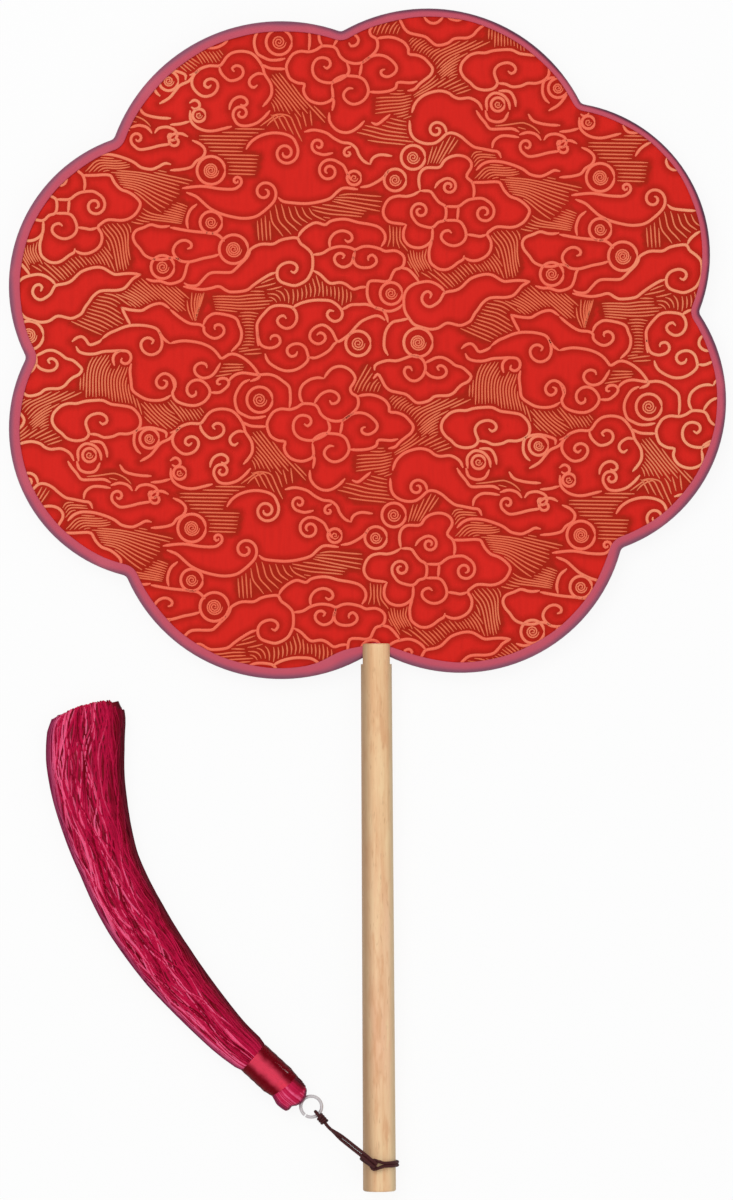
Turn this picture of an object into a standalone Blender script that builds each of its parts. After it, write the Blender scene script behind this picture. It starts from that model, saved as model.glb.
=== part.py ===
"""Eight-lobed brocade hand fan with a wooden stick handle and a hanging tassel.

The fan lies flat. +X is right, +Y runs from the handle's butt to the blade, and +Z is up.
The origin is the centre of the butt's flat end.
"""
from math import acos, asin, atan2, cos, pi, radians, sin, sqrt

import bmesh
import bpy
from mathutils import Matrix, Vector
from mathutils.geometry import intersect_sphere_sphere_2d

MM = 0.001
GAP = 0.3 * MM

# Blade outline: the inward corners of the hand-bent rim, anticlockwise from the right
CORNERS = [
    (110.3, 298.0), (70.8, 369.2), (-10.6, 394.2), (-88.1, 358.2),
    (-118.3, 284.1), (-84.8, 209.7), (0.0, 184.1), (83.5, 218.1),
]
# How far the lobe that starts at each corner bulges past its chord
LOBE_RISES = [19.7, 18.5, 17.8, 18.4, 20.1, 21.1, 22.6, 20.9]
CORNER_ROUND = 2.4 * MM
LOBE_STEPS = 13
CORNER_STEPS = 3
HANDLE_CORNER = 6
BLADE_MIDDLE = Vector((-3.8, 291.0)) * MM

# Blade layers, as heights above and below the mid-plane
BOARD_HALF = 0.85 * MM
CLOTH_IN = 1.2 * MM
CLOTH_OUT = 1.55 * MM
RIBBON_IN = 1.85 * MM
RIBBON_OUT = 2.2 * MM

# Insets from the blade's outer edge
RIBBON_WEB = 0.4 * MM
CLOTH_INSET = 0.75 * MM
WIRE_INSET = 1.8 * MM
BOARD_INSET = 3.0 * MM
RIBBON_WIDTH = 3.7 * MM
RIBBON_EDGE_ROUND = 0.8 * MM

# Rim wire and its two tang legs
WIRE_RADIUS = 0.9 * MM
LEG_X = 1.05 * MM
LEG_BEND = 2.2 * MM
TANG_END_Y = 152.0 * MM
LEG_STEPS = 6

# Notch that lets the tang through the binding, from below its corner to above it
TANG_NOTCH_HALF = 3.2 * MM
NOTCH_BELOW = 10.0 * MM
NOTCH_ABOVE = 2.5 * MM
NOTCH_PLAY = 0.05 * MM

# Handle
HANDLE_LENGTH = 186.2 * MM
BUTT_RADIUS = 5.6 * MM
TIP_RADIUS = 5.25 * MM
BUTT_ROUND = 0.7 * MM
TIP_ROUND = 0.35 * MM
HANDLE_SIDES = 40
SLOT_FLOOR_Y = 179.2 * MM
BORE_RADIUS = 2.25 * MM
BORE_SIDES = 24
BORE_END_Y = 149.0 * MM
BORE_TOP_Y = SLOT_FLOOR_Y + 1.0 * MM

# Cord and the girth hitch that ties it round the handle
CORD_RADIUS = 0.45 * MM
HITCH_Y = 9.4 * MM
KNOT_X = -1.5 * MM
TURN_LEVEL = BUTT_RADIUS + GAP + CORD_RADIUS
NOSE_LEVEL = TURN_LEVEL + 2 * CORD_RADIUS + 0.45 * MM
KNOT_ANGLE = asin(-KNOT_X / TURN_LEVEL)
# The nose's half width across the two risers, and its reach past them
NOSE_HALF = 2.0 * MM
NOSE_REACH = 1.55 * MM
NOSE_KEYS = 5
# Where each leg climbs to the nose: angle in degrees, share of the rise, share of the spread
NOSE_CLIMB = [(322, 0.3, 0.15), (344, 0.78, 0.6)]
# The turns: half the distance between them, their ends and how the cord's pull slopes them
TURN_OFFSET = 0.8 * MM
TURN_START = radians(24)
TURN_END = radians(300)
TURN_KEYS = 12
PULL_SLOPE = 0.6
# The risers, where both ends come up through the nose
RISER_OFFSET = 0.68 * MM
RISER_TOP = 8.2 * MM
RISER_BEND = 1.1 * MM
RISER_TURN = radians(6)

# The doubled cord from the hitch to the ring: points of its middle, and its strands' spread
CORD_LEVEL = 9.1 * MM
CORD_RUN = [
    (-1.2, 9.1, 9.1), (-5.2, 12.6, 9.1), (-9.3, 15.8, 7.4), (-13.2, 18.7, 3.6), (-16.8, 21.4, -0.2),
]
STRAND_OFFSET = 0.68 * MM
# Shares of the run over which the strands turn from side by side to one over the other
STRAND_TURN = (0.5, 0.8)
LOOP_RADIUS = 1.8 * MM
LOOP_STEPS = 12

# The surface that the fan lies on, just under the hitch
FLOOR_Z = -TURN_LEVEL - CORD_RADIUS

# Split ring, which lies level between cord and tassel
RING_CENTRE = Vector((-23.05, 28.77, -1.6)) * MM
RING_RADIUS = 3.55 * MM
RING_WIRE = 0.6 * MM
RING_SLIT = 0.4 * MM
RING_SLIT_ANGLE = radians(235)
RING_SIDES = 10
RING_STEPS = 44

# The knot beside the ring, in the direction in which the cord leaves it
CORD_SIDE = radians(-49.7)
KNOT_FROM_RING = 5.95 * MM
KNOT_TURNS = 2
KNOT_RADIUS = 0.9 * CORD_RADIUS
KNOT_PITCH = 2 * KNOT_RADIUS + 0.45 * MM
WOUND_STEPS = 24

# Tassel: the route of its middle on the surface, from the head's tip to the cut end
TASSEL_ROUTE = [
    (-24.6, 29.6), (-31.9, 35.7), (-42.9, 45.9), (-53.5, 55.6), (-71.1, 76.3),
    (-84.2, 96.3), (-92.5, 114.8), (-97.7, 134.5), (-99.2, 150.0), (-98.2, 165.4),
]
HEAD_LENGTH = 9.4 * MM
# Head sections: distance from the tip, reach to its right and left, and half height, in mm
HEAD = [
    (0.5, -1.2, 1.0, 1.5), (0.9, -2.6, 2.2, 2.9), (1.8, -3.9, 3.7, 4.1), (3.2, -4.8, 5.7, 4.9),
    (4.8, -5.3, 6.5, 5.4), (6.4, -5.5, 6.4, 5.6), (8.0, -5.5, 5.8, 5.6),
]
NECK_RADIUS = 4.6 * MM
NECK_SHOULDER = 0.6 * MM
NECK_BARE = 0.4 * MM
NECK_AXIS_Z = FLOOR_Z + 5.75 * MM
WRAP_LENGTH = 15.0 * MM
WRAP_THREAD = 0.26 * MM
WRAP_TURNS = 15
# Skirt sections: share of the way from neck to cut end, full width and full height, in mm
SKIRT = [
    (0.0, 12.0, 10.8), (0.1, 14.0, 10.8), (0.3, 18.2, 10.4), (0.45, 19.9, 10.0),
    (0.6, 20.0, 9.6), (0.76, 23.8, 9.0), (0.88, 26.3, 8.6), (0.95, 26.2, 8.2),
    (0.985, 24.2, 7.0), (1.0, 20.6, 5.0),
]
SKIRT_RINGS = 24
SKIRT_CROWDING = 1.6
SKIRT_SIDES = 36
SKIRT_SINK = 12.0 * MM
BUNDLES = 9
BUNDLE_DEPTH = 0.035
BUNDLE_DRIFT = 14.0
CUT_SLANT = radians(17)
SLANT_START = 0.75


def linear(red, green, blue):
    """Scene-linear colour for a colour given as 0 to 255 display values."""
    return [((v / 255 + 0.055) / 1.055) ** 2.4 for v in (red, green, blue)] + [1.0]


def material(name, colour, roughness, metallic=0.0):
    made = bpy.data.materials.new(name)
    made.use_nodes = True
    shader = made.node_tree.nodes["Principled BSDF"]
    shader.inputs["Base Color"].default_value = linear(*colour)
    shader.inputs["Roughness"].default_value = roughness
    shader.inputs["Metallic"].default_value = metallic
    made.diffuse_color = linear(*colour)
    return made


def add_object(name, mesh, finish, pivot=None):
    """Link a mesh as a named object, carried by a pivot empty where it moves."""
    made = bpy.data.objects.new(name, mesh)
    bpy.context.scene.collection.objects.link(made)
    if finish:
        mesh.materials.append(finish)
    if pivot:
        made.parent = pivot
        mesh.transform(Matrix.Translation(-pivot.matrix_world.translation))
    return made


def add_pivot(name, place, parent=None):
    """Empty on a joint's axis, which carries the pieces that turn there."""
    made = bpy.data.objects.new(name, None)
    made.empty_display_size = 0.01
    bpy.context.scene.collection.objects.link(made)
    made.parent = parent
    offset = parent.matrix_world.translation if parent else Vector()
    made.location = place - offset
    bpy.context.view_layer.update()
    return made


def mesh_from(name, bm, sharp=radians(40)):
    bmesh.ops.recalc_face_normals(bm, faces=bm.faces)
    mesh = bpy.data.meshes.new(name)
    bm.to_mesh(mesh)
    bm.free()
    mesh.shade_smooth()
    mesh.set_sharp_from_angle(angle=sharp)
    return mesh


def loft(sections, closed_path=False):
    """Bmesh skin over point rings of one count, capped at both ends or joined round."""
    bm = bmesh.new()
    rings = [[bm.verts.new(point) for point in ring] for ring in sections]
    count = len(rings[0])
    pairs = list(zip(rings, rings[1:]))
    if closed_path:
        pairs.append((rings[-1], rings[0]))
    for low, high in pairs:
        for i in range(count):
            j = (i + 1) % count
            bm.faces.new((low[i], low[j], high[j], high[i]))
    if not closed_path:
        bm.faces.new(rings[0])
        bm.faces.new(rings[-1])
    return bm


def cutter(name, mesh):
    made = add_object(name, mesh, None)
    made.hide_render = True
    made.display_type = "WIRE"
    return made


def cut(target, tool):
    step = target.modifiers.new("Cut by " + tool.name, "BOOLEAN")
    step.operation = "DIFFERENCE"
    step.solver = "EXACT"
    step.object = tool


def box_mesh(name, low, high):
    bm = bmesh.new()
    bmesh.ops.create_cube(bm, size=1.0)
    size = Vector(high) - Vector(low)
    middle = (Vector(high) + Vector(low)) / 2
    bmesh.ops.scale(bm, vec=size, verts=bm.verts)
    bmesh.ops.translate(bm, vec=middle, verts=bm.verts)
    return mesh_from(name, bm)


def smooth_route(points, steps):
    """Catmull-Rom samples through a route's own points, ends included."""
    padded = [2 * points[0] - points[1]] + points + [2 * points[-1] - points[-2]]
    samples = []
    for a, b, c, d in zip(padded, padded[1:], padded[2:], padded[3:]):
        for i in range(steps):
            t = i / steps
            samples.append(0.5 * (
                2 * b + (c - a) * t + (2 * a - 5 * b + 4 * c - d) * t ** 2
                + (3 * b - a - 3 * c + d) * t ** 3))
    samples.append(points[-1].copy())
    return samples


def tube(name, points, radius, resolution, finish, pivot=None):
    """Round cord or wire along a route of points, with filled ends."""
    curve = bpy.data.curves.new(name, "CURVE")
    curve.dimensions = "3D"
    curve.bevel_depth = radius
    curve.bevel_resolution = resolution
    curve.use_fill_caps = True
    spline = curve.splines.new("POLY")
    spline.points.add(len(points) - 1)
    shift = pivot.matrix_world.translation if pivot else Vector()
    for slot, point in zip(spline.points, points):
        slot.co = (*(point - shift), 1.0)
        slot.radius = 1.0
    spline.use_smooth = True
    curve.materials.append(finish)
    made = bpy.data.objects.new(name, curve)
    made.parent = pivot
    bpy.context.scene.collection.objects.link(made)
    return made


def report_gap(name, points, radius):
    """Print the clear distance between stretches of a tube over nine radii apart along it."""
    apart = 9 * radius
    least = 1.0
    lengths = [0.0]
    for a, b in zip(points, points[1:]):
        lengths.append(lengths[-1] + (b - a).length)
    for i, first in enumerate(points):
        for j in range(i + 1, len(points)):
            if lengths[j] - lengths[i] > apart:
                least = min(least, (points[j] - first).length - 2 * radius)
    print("%s least gap to itself: %.2f mm" % (name, least / MM))


def quarter(steps):
    """Angles of a quarter turn in even steps, both ends included."""
    return [radians(90 * i / steps) for i in range(steps + 1)]


class Lobe:
    """Circle arc between two corners of the blade's outline."""

    def __init__(self, start, end, rise):
        chord = end - start
        outward = Vector((chord.y, -chord.x)).normalized()
        self.radius = (chord.length ** 2 / 4 + rise ** 2) / (2 * rise)
        self.centre = (start + end) / 2 - outward * (self.radius - rise)


def blade_lobes():
    corners = [Vector(corner) * MM for corner in CORNERS]
    ends = corners[1:] + corners[:1]
    return [Lobe(a, b, rise * MM) for a, b, rise in zip(corners, ends, LOBE_RISES)]


def corner_centre(before, after):
    """Centre of the round that joins two lobes, outside them both."""
    meets = intersect_sphere_sphere_2d(
        before.centre, before.radius + CORNER_ROUND, after.centre, after.radius + CORNER_ROUND)
    outward = ((before.centre + after.centre) / 2 - BLADE_MIDDLE).normalized()
    return max(meets, key=lambda point: (point - BLADE_MIDDLE).dot(outward))


def arc(centre, radius, start, end, steps, anticlockwise=True):
    """Points of an arc from one direction vector to another, both ends included."""
    a = atan2(start.y, start.x)
    b = atan2(end.y, end.x)
    if anticlockwise and b < a:
        b += 2 * pi
    if not anticlockwise and b > a:
        b -= 2 * pi
    turns = [a + (b - a) * i / steps for i in range(steps + 1)]
    return [centre + radius * Vector((cos(t), sin(t))) for t in turns]


def outline(inset):
    """Closed blade outline at an inset, anticlockwise, each lobe and corner an arc."""
    lobes = blade_lobes()
    points = []
    for i, lobe in enumerate(lobes):
        after = lobes[(i + 1) % len(lobes)]
        start = corner_centre(lobes[i - 1], lobe)
        end = corner_centre(lobe, after)
        points += arc(lobe.centre, lobe.radius - inset, start - lobe.centre,
                      end - lobe.centre, LOBE_STEPS)
        points += arc(end, CORNER_ROUND + inset, lobe.centre - end,
                      after.centre - end, CORNER_STEPS, False)[1:-1]
    return points


def slab(name, inset, low, high):
    """Flat sheet of the blade's outline between two heights."""
    edge = outline(inset)
    return mesh_from(name, loft([[(*p, z) for p in edge] for z in (low, high)]))


def build_handle(wood):
    """Turned stick with a sawn slot for the blade and a blind bore for the tang."""
    def radius_at(y):
        return BUTT_RADIUS + (TIP_RADIUS - BUTT_RADIUS) * y / HANDLE_LENGTH

    profile = [(radius_at(0) - BUTT_ROUND * (1 - sin(t)), BUTT_ROUND * (1 - cos(t)))
               for t in quarter(4)]
    profile += [(radius_at(y), y) for y in (HANDLE_LENGTH * i / 4 for i in (1, 2, 3))]
    profile += [(radius_at(HANDLE_LENGTH), HANDLE_LENGTH - TIP_ROUND),
                (radius_at(HANDLE_LENGTH) - TIP_ROUND, HANDLE_LENGTH)]
    angles = [2 * pi * i / HANDLE_SIDES for i in range(HANDLE_SIDES)]
    rings = [[(radius * cos(a), y, radius * sin(a)) for a in angles] for radius, y in profile]
    handle = add_object("handle", mesh_from("handle", loft(rings)), wood)
    slot_half = RIBBON_OUT + GAP
    reach = 2 * BUTT_RADIUS
    slot = box_mesh("blade_slot", (-reach, SLOT_FLOOR_Y, -slot_half),
                    (reach, HANDLE_LENGTH + reach, slot_half))
    cut(handle, cutter("blade_slot", slot))
    bm = bmesh.new()
    bmesh.ops.create_cone(bm, cap_ends=True, segments=BORE_SIDES, radius1=BORE_RADIUS,
                          radius2=BORE_RADIUS, depth=BORE_TOP_Y - BORE_END_Y,
                          matrix=Matrix.Rotation(radians(90), 4, "X"))
    bmesh.ops.translate(bm, vec=(0, (BORE_TOP_Y + BORE_END_Y) / 2, 0), verts=bm.verts)
    cut(handle, cutter("tang_bore", mesh_from("tang_bore", bm)))


def leg_bend(lobe, side):
    """Centre of the bend that turns the wire from a lobe down into its tang leg."""
    x = side * (LEG_X + LEG_BEND)
    reach = lobe.radius - WIRE_INSET + LEG_BEND
    drop = sqrt(reach ** 2 - (x - lobe.centre.x) ** 2)
    return Vector((x, lobe.centre.y - drop))


def build_rim_wire(steel):
    """One wire bent round the lobes, both ends turned down side by side as the tang."""
    lobes = blade_lobes()
    order = [(HANDLE_CORNER + i) % len(lobes) for i in range(len(lobes))]
    first, last = lobes[order[0]], lobes[order[-1]]
    bend_out = leg_bend(first, 1)
    bend_in = leg_bend(last, -1)
    points = [Vector((LEG_X, TANG_END_Y)), Vector((LEG_X, (TANG_END_Y + SLOT_FLOOR_Y) / 2))]
    points += arc(bend_out, LEG_BEND, Vector((-1, 0)), first.centre - bend_out, LEG_STEPS, False)
    for place, i in enumerate(order):
        lobe = lobes[i]
        start = corner_centre(lobes[i - 1], lobe) if place else bend_out
        end = bend_in
        if place < len(order) - 1:
            end = corner_centre(lobe, lobes[(i + 1) % len(lobes)])
        run = arc(lobe.centre, lobe.radius - WIRE_INSET, start - lobe.centre,
                  end - lobe.centre, LOBE_STEPS)
        points += run if place else run[1:]
        if place < len(order) - 1:
            after = lobes[(i + 1) % len(lobes)]
            points += arc(end, CORNER_ROUND + WIRE_INSET, lobe.centre - end,
                          after.centre - end, CORNER_STEPS, False)[1:-1]
    points += arc(bend_in, LEG_BEND, last.centre - bend_in, Vector((1, 0)), LEG_STEPS, False)[1:]
    points += [Vector((-LEG_X, (TANG_END_Y + SLOT_FLOOR_Y) / 2)), Vector((-LEG_X, TANG_END_Y))]
    tube("rim_wire", [point.to_3d() for point in points], WIRE_RADIUS, 2, steel)


def build_binding(ribbon):
    """Ribbon folded over the blade's edge as a U, open where the tang passes."""
    fold = [(RIBBON_EDGE_ROUND * (1 - sin(t)), RIBBON_OUT - RIBBON_EDGE_ROUND * (1 - cos(t)))
            for t in quarter(2)]
    upper = [(RIBBON_WEB, RIBBON_IN - RIBBON_WEB), (RIBBON_WEB * 2, RIBBON_IN),
             (RIBBON_WIDTH, RIBBON_IN), (RIBBON_WIDTH, RIBBON_OUT)] + fold
    profile = upper + [(inset, -z) for inset, z in reversed(upper)]
    edges = {inset: outline(inset) for inset, z in profile}
    count = len(edges[RIBBON_WIDTH])
    sections = [[(*edges[inset][i], z) for inset, z in profile] for i in range(count)]
    mesh = mesh_from("edge_binding", loft(sections, closed_path=True))
    binding = add_object("edge_binding", mesh, ribbon)
    corner_y = CORNERS[HANDLE_CORNER][1] * MM
    half_high = RIBBON_IN - NOTCH_PLAY
    notch = box_mesh("tang_notch", (-TANG_NOTCH_HALF, corner_y - NOTCH_BELOW, -half_high),
                     (TANG_NOTCH_HALF, corner_y + NOTCH_ABOVE, half_high))
    cut(binding, cutter("tang_notch", notch))


def build_blade(board, brocade, ribbon, steel):
    add_object("core_board", slab("core_board", BOARD_INSET, -BOARD_HALF, BOARD_HALF), board)
    front = slab("front_brocade", CLOTH_INSET, CLOTH_IN, CLOTH_OUT)
    back = slab("back_brocade", CLOTH_INSET, -CLOTH_OUT, -CLOTH_IN)
    add_object("front_brocade", front, brocade)
    add_object("back_brocade", back, brocade)
    build_rim_wire(steel)
    build_binding(ribbon)


def round_handle(angle, level, offset):
    """Point at an angle from the top, anticlockwise from the butt, round the handle."""
    return Vector((-level * sin(angle), HITCH_Y + offset, level * cos(angle)))


def hitch_half(side):
    """Route of half the hitch, from its riser once round the handle to the nose."""
    riser = Vector((KNOT_X, HITCH_Y + side * RISER_OFFSET, 0))
    keys = [riser + Vector((0, 0, RISER_TOP)), riser + Vector((0, 0, RISER_TOP - RISER_BEND))]
    keys.append(round_handle(KNOT_ANGLE + RISER_TURN, TURN_LEVEL, side * RISER_OFFSET))
    for i in range(TURN_KEYS):
        angle = TURN_START + (TURN_END - TURN_START) * i / (TURN_KEYS - 1)
        lean = PULL_SLOPE * max(0, TURN_LEVEL * (sin(angle) - sin(TURN_START)))
        keys.append(round_handle(angle, TURN_LEVEL, side * TURN_OFFSET + lean))
    for degrees, rise, spread in NOSE_CLIMB:
        level = TURN_LEVEL + (NOSE_LEVEL - TURN_LEVEL) * rise
        offset = TURN_OFFSET + (NOSE_HALF - TURN_OFFSET) * spread
        keys.append(round_handle(radians(degrees), level, side * offset))
    for turn in quarter(NOSE_KEYS)[:-1]:
        angle = 2 * pi + KNOT_ANGLE + NOSE_REACH / NOSE_LEVEL * sin(turn)
        keys.append(round_handle(angle, NOSE_LEVEL, side * NOSE_HALF * cos(turn)))
    return keys


def build_hitch(cord, pivot):
    """Girth hitch: both strands go round the handle and the loop's nose holds them."""
    nose = round_handle(KNOT_ANGLE + NOSE_REACH / NOSE_LEVEL, NOSE_LEVEL, 0)
    route = smooth_route(hitch_half(1) + [nose] + hitch_half(-1)[::-1], 2)
    tube("handle_hitch", route, CORD_RADIUS, 1, cord, pivot)
    report_gap("handle_hitch", route, CORD_RADIUS)


def loop_shape():
    """Reach of the loop's centre and of its neck from the ring's centre, and its arcs' turn."""
    centre = RING_RADIUS + LOOP_RADIUS - RING_WIRE - GAP - CORD_RADIUS
    turn = acos((STRAND_OFFSET / LOOP_RADIUS + 1) / 2)
    return centre, centre + 2 * LOOP_RADIUS * sin(turn), turn


def strand_rise(reach):
    """Height of the upper strand over the ring's level at a reach from the ring's centre."""
    centre, neck, turn = loop_shape()
    if reach >= neck:
        return STRAND_OFFSET
    if reach > centre + LOOP_RADIUS * sin(turn):
        return STRAND_OFFSET + LOOP_RADIUS - sqrt(LOOP_RADIUS ** 2 - (neck - reach) ** 2)
    return sqrt(LOOP_RADIUS ** 2 - (reach - centre) ** 2)


def cord_loop():
    """Upright loop round the ring's wire, as reach and height: it necks in to the strands."""
    centre, neck, turn = loop_shape()
    upper = arc(Vector((neck, STRAND_OFFSET + LOOP_RADIUS)), LOOP_RADIUS, Vector((0, -1)),
                Vector((-sin(turn), -cos(turn))), 3, False)[1:]
    lower = [Vector((point.x, -point.y)) for point in reversed(upper)]
    bend = arc(Vector((centre, 0)), LOOP_RADIUS, Vector((sin(turn), cos(turn))),
               Vector((sin(turn), -cos(turn))), LOOP_STEPS)[1:-1]
    return upper + bend + lower


def build_cord(cord, pivot):
    """Doubled free cord: out from the hitch, round the ring's wire and back."""
    side = Vector((cos(CORD_SIDE), sin(CORD_SIDE), 0))
    up = Vector((0, 0, 1))
    neck = RING_CENTRE + loop_shape()[1] * side
    run = smooth_route([Vector(point) * MM for point in CORD_RUN] + [neck], 4)
    begin, end = STRAND_TURN
    strands = ([], [])
    for i, point in enumerate(run):
        ahead = run[i + 1] - point if i + 1 < len(run) else -side
        level = Vector((ahead.y, -ahead.x, 0)).normalized()
        over = level.cross(ahead).normalized()
        share = min(1, max(0, (i / (len(run) - 1) - begin) / (end - begin)))
        twist = radians(90) * share * share * (3 - 2 * share)
        offset = STRAND_OFFSET * (cos(twist) * level + sin(twist) * over)
        strands[0].append(point + offset)
        strands[1].append(point - offset)
    loop = [RING_CENTRE + point.x * side + point.y * up for point in cord_loop()]
    route = strands[0] + loop + strands[1][::-1]
    tube("hanging_cord", route, CORD_RADIUS, 2, cord, pivot)
    length = sum((b - a).length for a, b in zip(route, route[1:]))
    print("hanging_cord length: %.1f mm" % (length / MM))
    report_gap("hanging_cord", route, CORD_RADIUS)
    build_cord_knot(cord, side, pivot)


def build_cord_knot(cord, along, pivot):
    """Turns of cord bound close round both strands beside the ring."""
    half_wide = 2 * CORD_RADIUS + GAP
    across = Vector((-along.y, along.x, 0))
    points = []
    for i in range(WOUND_STEPS * KNOT_TURNS + 1):
        turn = 2 * pi * i / WOUND_STEPS
        reach = KNOT_FROM_RING + KNOT_PITCH * (i / WOUND_STEPS - KNOT_TURNS / 2)
        high = half_wide * sin(turn) + strand_rise(reach) * max(-1, min(1, 2 * sin(turn)))
        points.append(RING_CENTRE + reach * along + half_wide * cos(turn) * across
                      + Vector((0, 0, high)))
    tube("cord_knot", points, KNOT_RADIUS, 1, cord, pivot)
    report_gap("cord_knot", points, KNOT_RADIUS)


def ring_sections(wire, slit, start=0.0):
    """Point rings of a level ring's wire, leaving a slit of the given width."""
    opening = slit / RING_RADIUS
    rings = []
    for i in range(RING_STEPS + 1):
        turn = start + opening / 2 + (2 * pi - opening) * i / RING_STEPS
        out = Vector((cos(turn), sin(turn), 0))
        ring = []
        for k in range(RING_SIDES):
            a = 2 * pi * k / RING_SIDES
            ring.append(RING_CENTRE + out * (RING_RADIUS + wire * cos(a))
                        + Vector((0, 0, wire * sin(a))))
        rings.append(ring)
    return rings


def build_ring(silver, pivot):
    rings = ring_sections(RING_WIRE, RING_SLIT, RING_SLIT_ANGLE)
    add_object("split_ring", mesh_from("split_ring", loft(rings)), silver, pivot)


def tassel_axis():
    """Even samples along the tassel's middle as position and distance from the tip."""
    route = [Vector((x, y, 0)) * MM for x, y in TASSEL_ROUTE]
    samples = smooth_route(route, 24)
    lengths = [0.0]
    for a, b in zip(samples, samples[1:]):
        lengths.append(lengths[-1] + (b - a).length)
    return samples, lengths


def at_distance(axis, distance):
    """Point and forward direction at a distance along the tassel's middle."""
    samples, lengths = axis
    i = 1
    while i < len(samples) - 1 and lengths[i] < distance:
        i += 1
    a, b = samples[i - 1], samples[i]
    share = (distance - lengths[i - 1]) / (lengths[i] - lengths[i - 1])
    return a.lerp(b, share), (b - a).normalized()


def tassel_ring(axis, distance, half_wide, half_high, middle, slant=0.0, depth=0.0):
    """Oval ring of yarn across the tassel, its bundles as shallow flutes.

    The middle is given as its offset to the left of the route and its height.
    """
    place, forward = at_distance(axis, distance)
    side = Vector((-forward.y, forward.x, 0))
    side.rotate(Matrix.Rotation(slant, 3, "Z"))
    place = place + side * middle[0] + Vector((0, 0, middle[1]))
    ring = []
    for k in range(SKIRT_SIDES):
        a = 2 * pi * k / SKIRT_SIDES
        swell = 1 - depth * (1 - abs(cos(BUNDLES * a / 2 + BUNDLE_DRIFT * distance)))
        ring.append(place + side * (half_wide * swell * cos(a))
                    + Vector((0, 0, half_high * swell * sin(a))))
    return ring


def skirt_size(share):
    """Full width and height of the skirt at a share of its length."""
    for low, high in zip(SKIRT, SKIRT[1:]):
        if share <= high[0]:
            t = (share - low[0]) / (high[0] - low[0])
            return [(a + (b - a) * t) * MM for a, b in zip(low[1:], high[1:])]
    return [value * MM for value in SKIRT[-1][1:]]


def tassel_sections(axis):
    """Rings of the folded yarn: lobed head, neck under the wrap, then the skirt."""
    rings = []
    for row in HEAD:
        distance, right, left, half_high = [value * MM for value in row]
        rings.append(tassel_ring(axis, distance, (left - right) / 2, half_high,
                                 ((left + right) / 2, NECK_AXIS_Z)))
    waist = HEAD_LENGTH + WRAP_LENGTH
    for distance, radius in (
            (HEAD_LENGTH - NECK_SHOULDER, NECK_RADIUS + NECK_SHOULDER),
            (HEAD_LENGTH - NECK_BARE, NECK_RADIUS), (waist + NECK_BARE, NECK_RADIUS)):
        rings.append(tassel_ring(axis, distance, radius, radius, (0, NECK_AXIS_Z)))
    begin = waist + 2 * NECK_BARE
    length = axis[1][-1] - begin
    for i in range(SKIRT_RINGS + 1):
        share = 1 - (1 - i / SKIRT_RINGS) ** SKIRT_CROWDING
        width, height = skirt_size(share)
        middle_z = max(FLOOR_Z + height / 2, NECK_AXIS_Z - SKIRT_SINK * share)
        slant = CUT_SLANT * max(0, (share - SLANT_START) / (1 - SLANT_START))
        rings.append(tassel_ring(axis, begin + length * share, width / 2, height / 2,
                                 (0, middle_z), slant, BUNDLE_DEPTH * min(1, 4 * share)))
    return rings


def build_tassel(yarn, thread, pivot):
    axis = tassel_axis()
    mesh = mesh_from("tassel_yarn", loft(tassel_sections(axis)), radians(60))
    body = add_object("tassel_yarn", mesh, yarn, pivot)
    tunnel = mesh_from("ring_tunnel", loft(ring_sections(RING_WIRE + GAP, 0.0)[:-1], True))
    cut(body, cutter("ring_tunnel", tunnel))
    build_wrap(thread, axis, pivot)


def build_wrap(thread, axis, pivot):
    """Thread wound round the neck as one unbroken helix."""
    radius = NECK_RADIUS + GAP + WRAP_THREAD
    steps = WOUND_STEPS * WRAP_TURNS
    run = WRAP_LENGTH - 2 * WRAP_THREAD
    points = []
    for i in range(steps + 1):
        place, forward = at_distance(axis, HEAD_LENGTH + WRAP_THREAD + run * i / steps)
        side = Vector((-forward.y, forward.x, 0))
        turn = 2 * pi * i / WOUND_STEPS
        points.append(place + side * (radius * cos(turn))
                      + Vector((0, 0, NECK_AXIS_Z + radius * sin(turn))))
    first = (points[0] - points[1]).normalized()
    last = (points[-1] - points[-2]).normalized()
    points = [points[0] + first * 2 * WRAP_THREAD] + points + [points[-1] + last * 2 * WRAP_THREAD]
    tube("neck_wrap", points, WRAP_THREAD, 1, thread, pivot)
    report_gap("neck_wrap", points, WRAP_THREAD)


def main():
    for old in list(bpy.data.objects):
        bpy.data.objects.remove(old, do_unlink=True)
    wood = material("beech_wood", (222, 178, 132), 0.5)
    steel = material("rim_steel", (150, 150, 152), 0.4, 1.0)
    board = material("core_board", (176, 150, 120), 0.85)
    brocade = material("red_brocade", (205, 38, 30), 0.5)
    ribbon = material("binding_ribbon", (182, 92, 112), 0.45)
    dark_cord = material("dark_cord", (66, 34, 34), 0.7)
    silver = material("ring_silver", (200, 200, 200), 0.25, 1.0)
    yarn = material("tassel_yarn", (184, 22, 62), 0.55)
    thread = material("wrap_thread", (170, 14, 44), 0.35)

    build_handle(wood)
    build_blade(board, brocade, ribbon, steel)

    hitch_pivot = add_pivot("hitch_pivot", Vector((0, HITCH_Y, 0)))
    cord_pivot = add_pivot("cord_pivot", Vector((KNOT_X, HITCH_Y, CORD_LEVEL)), hitch_pivot)
    ring_pivot = add_pivot("ring_pivot", RING_CENTRE, cord_pivot)
    build_hitch(dark_cord, hitch_pivot)
    build_cord(dark_cord, cord_pivot)
    build_ring(silver, ring_pivot)
    build_tassel(yarn, thread, ring_pivot)


main()
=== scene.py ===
from math import acos, asin, atan2, ceil, cos, pi, radians, sin, sqrt

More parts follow.
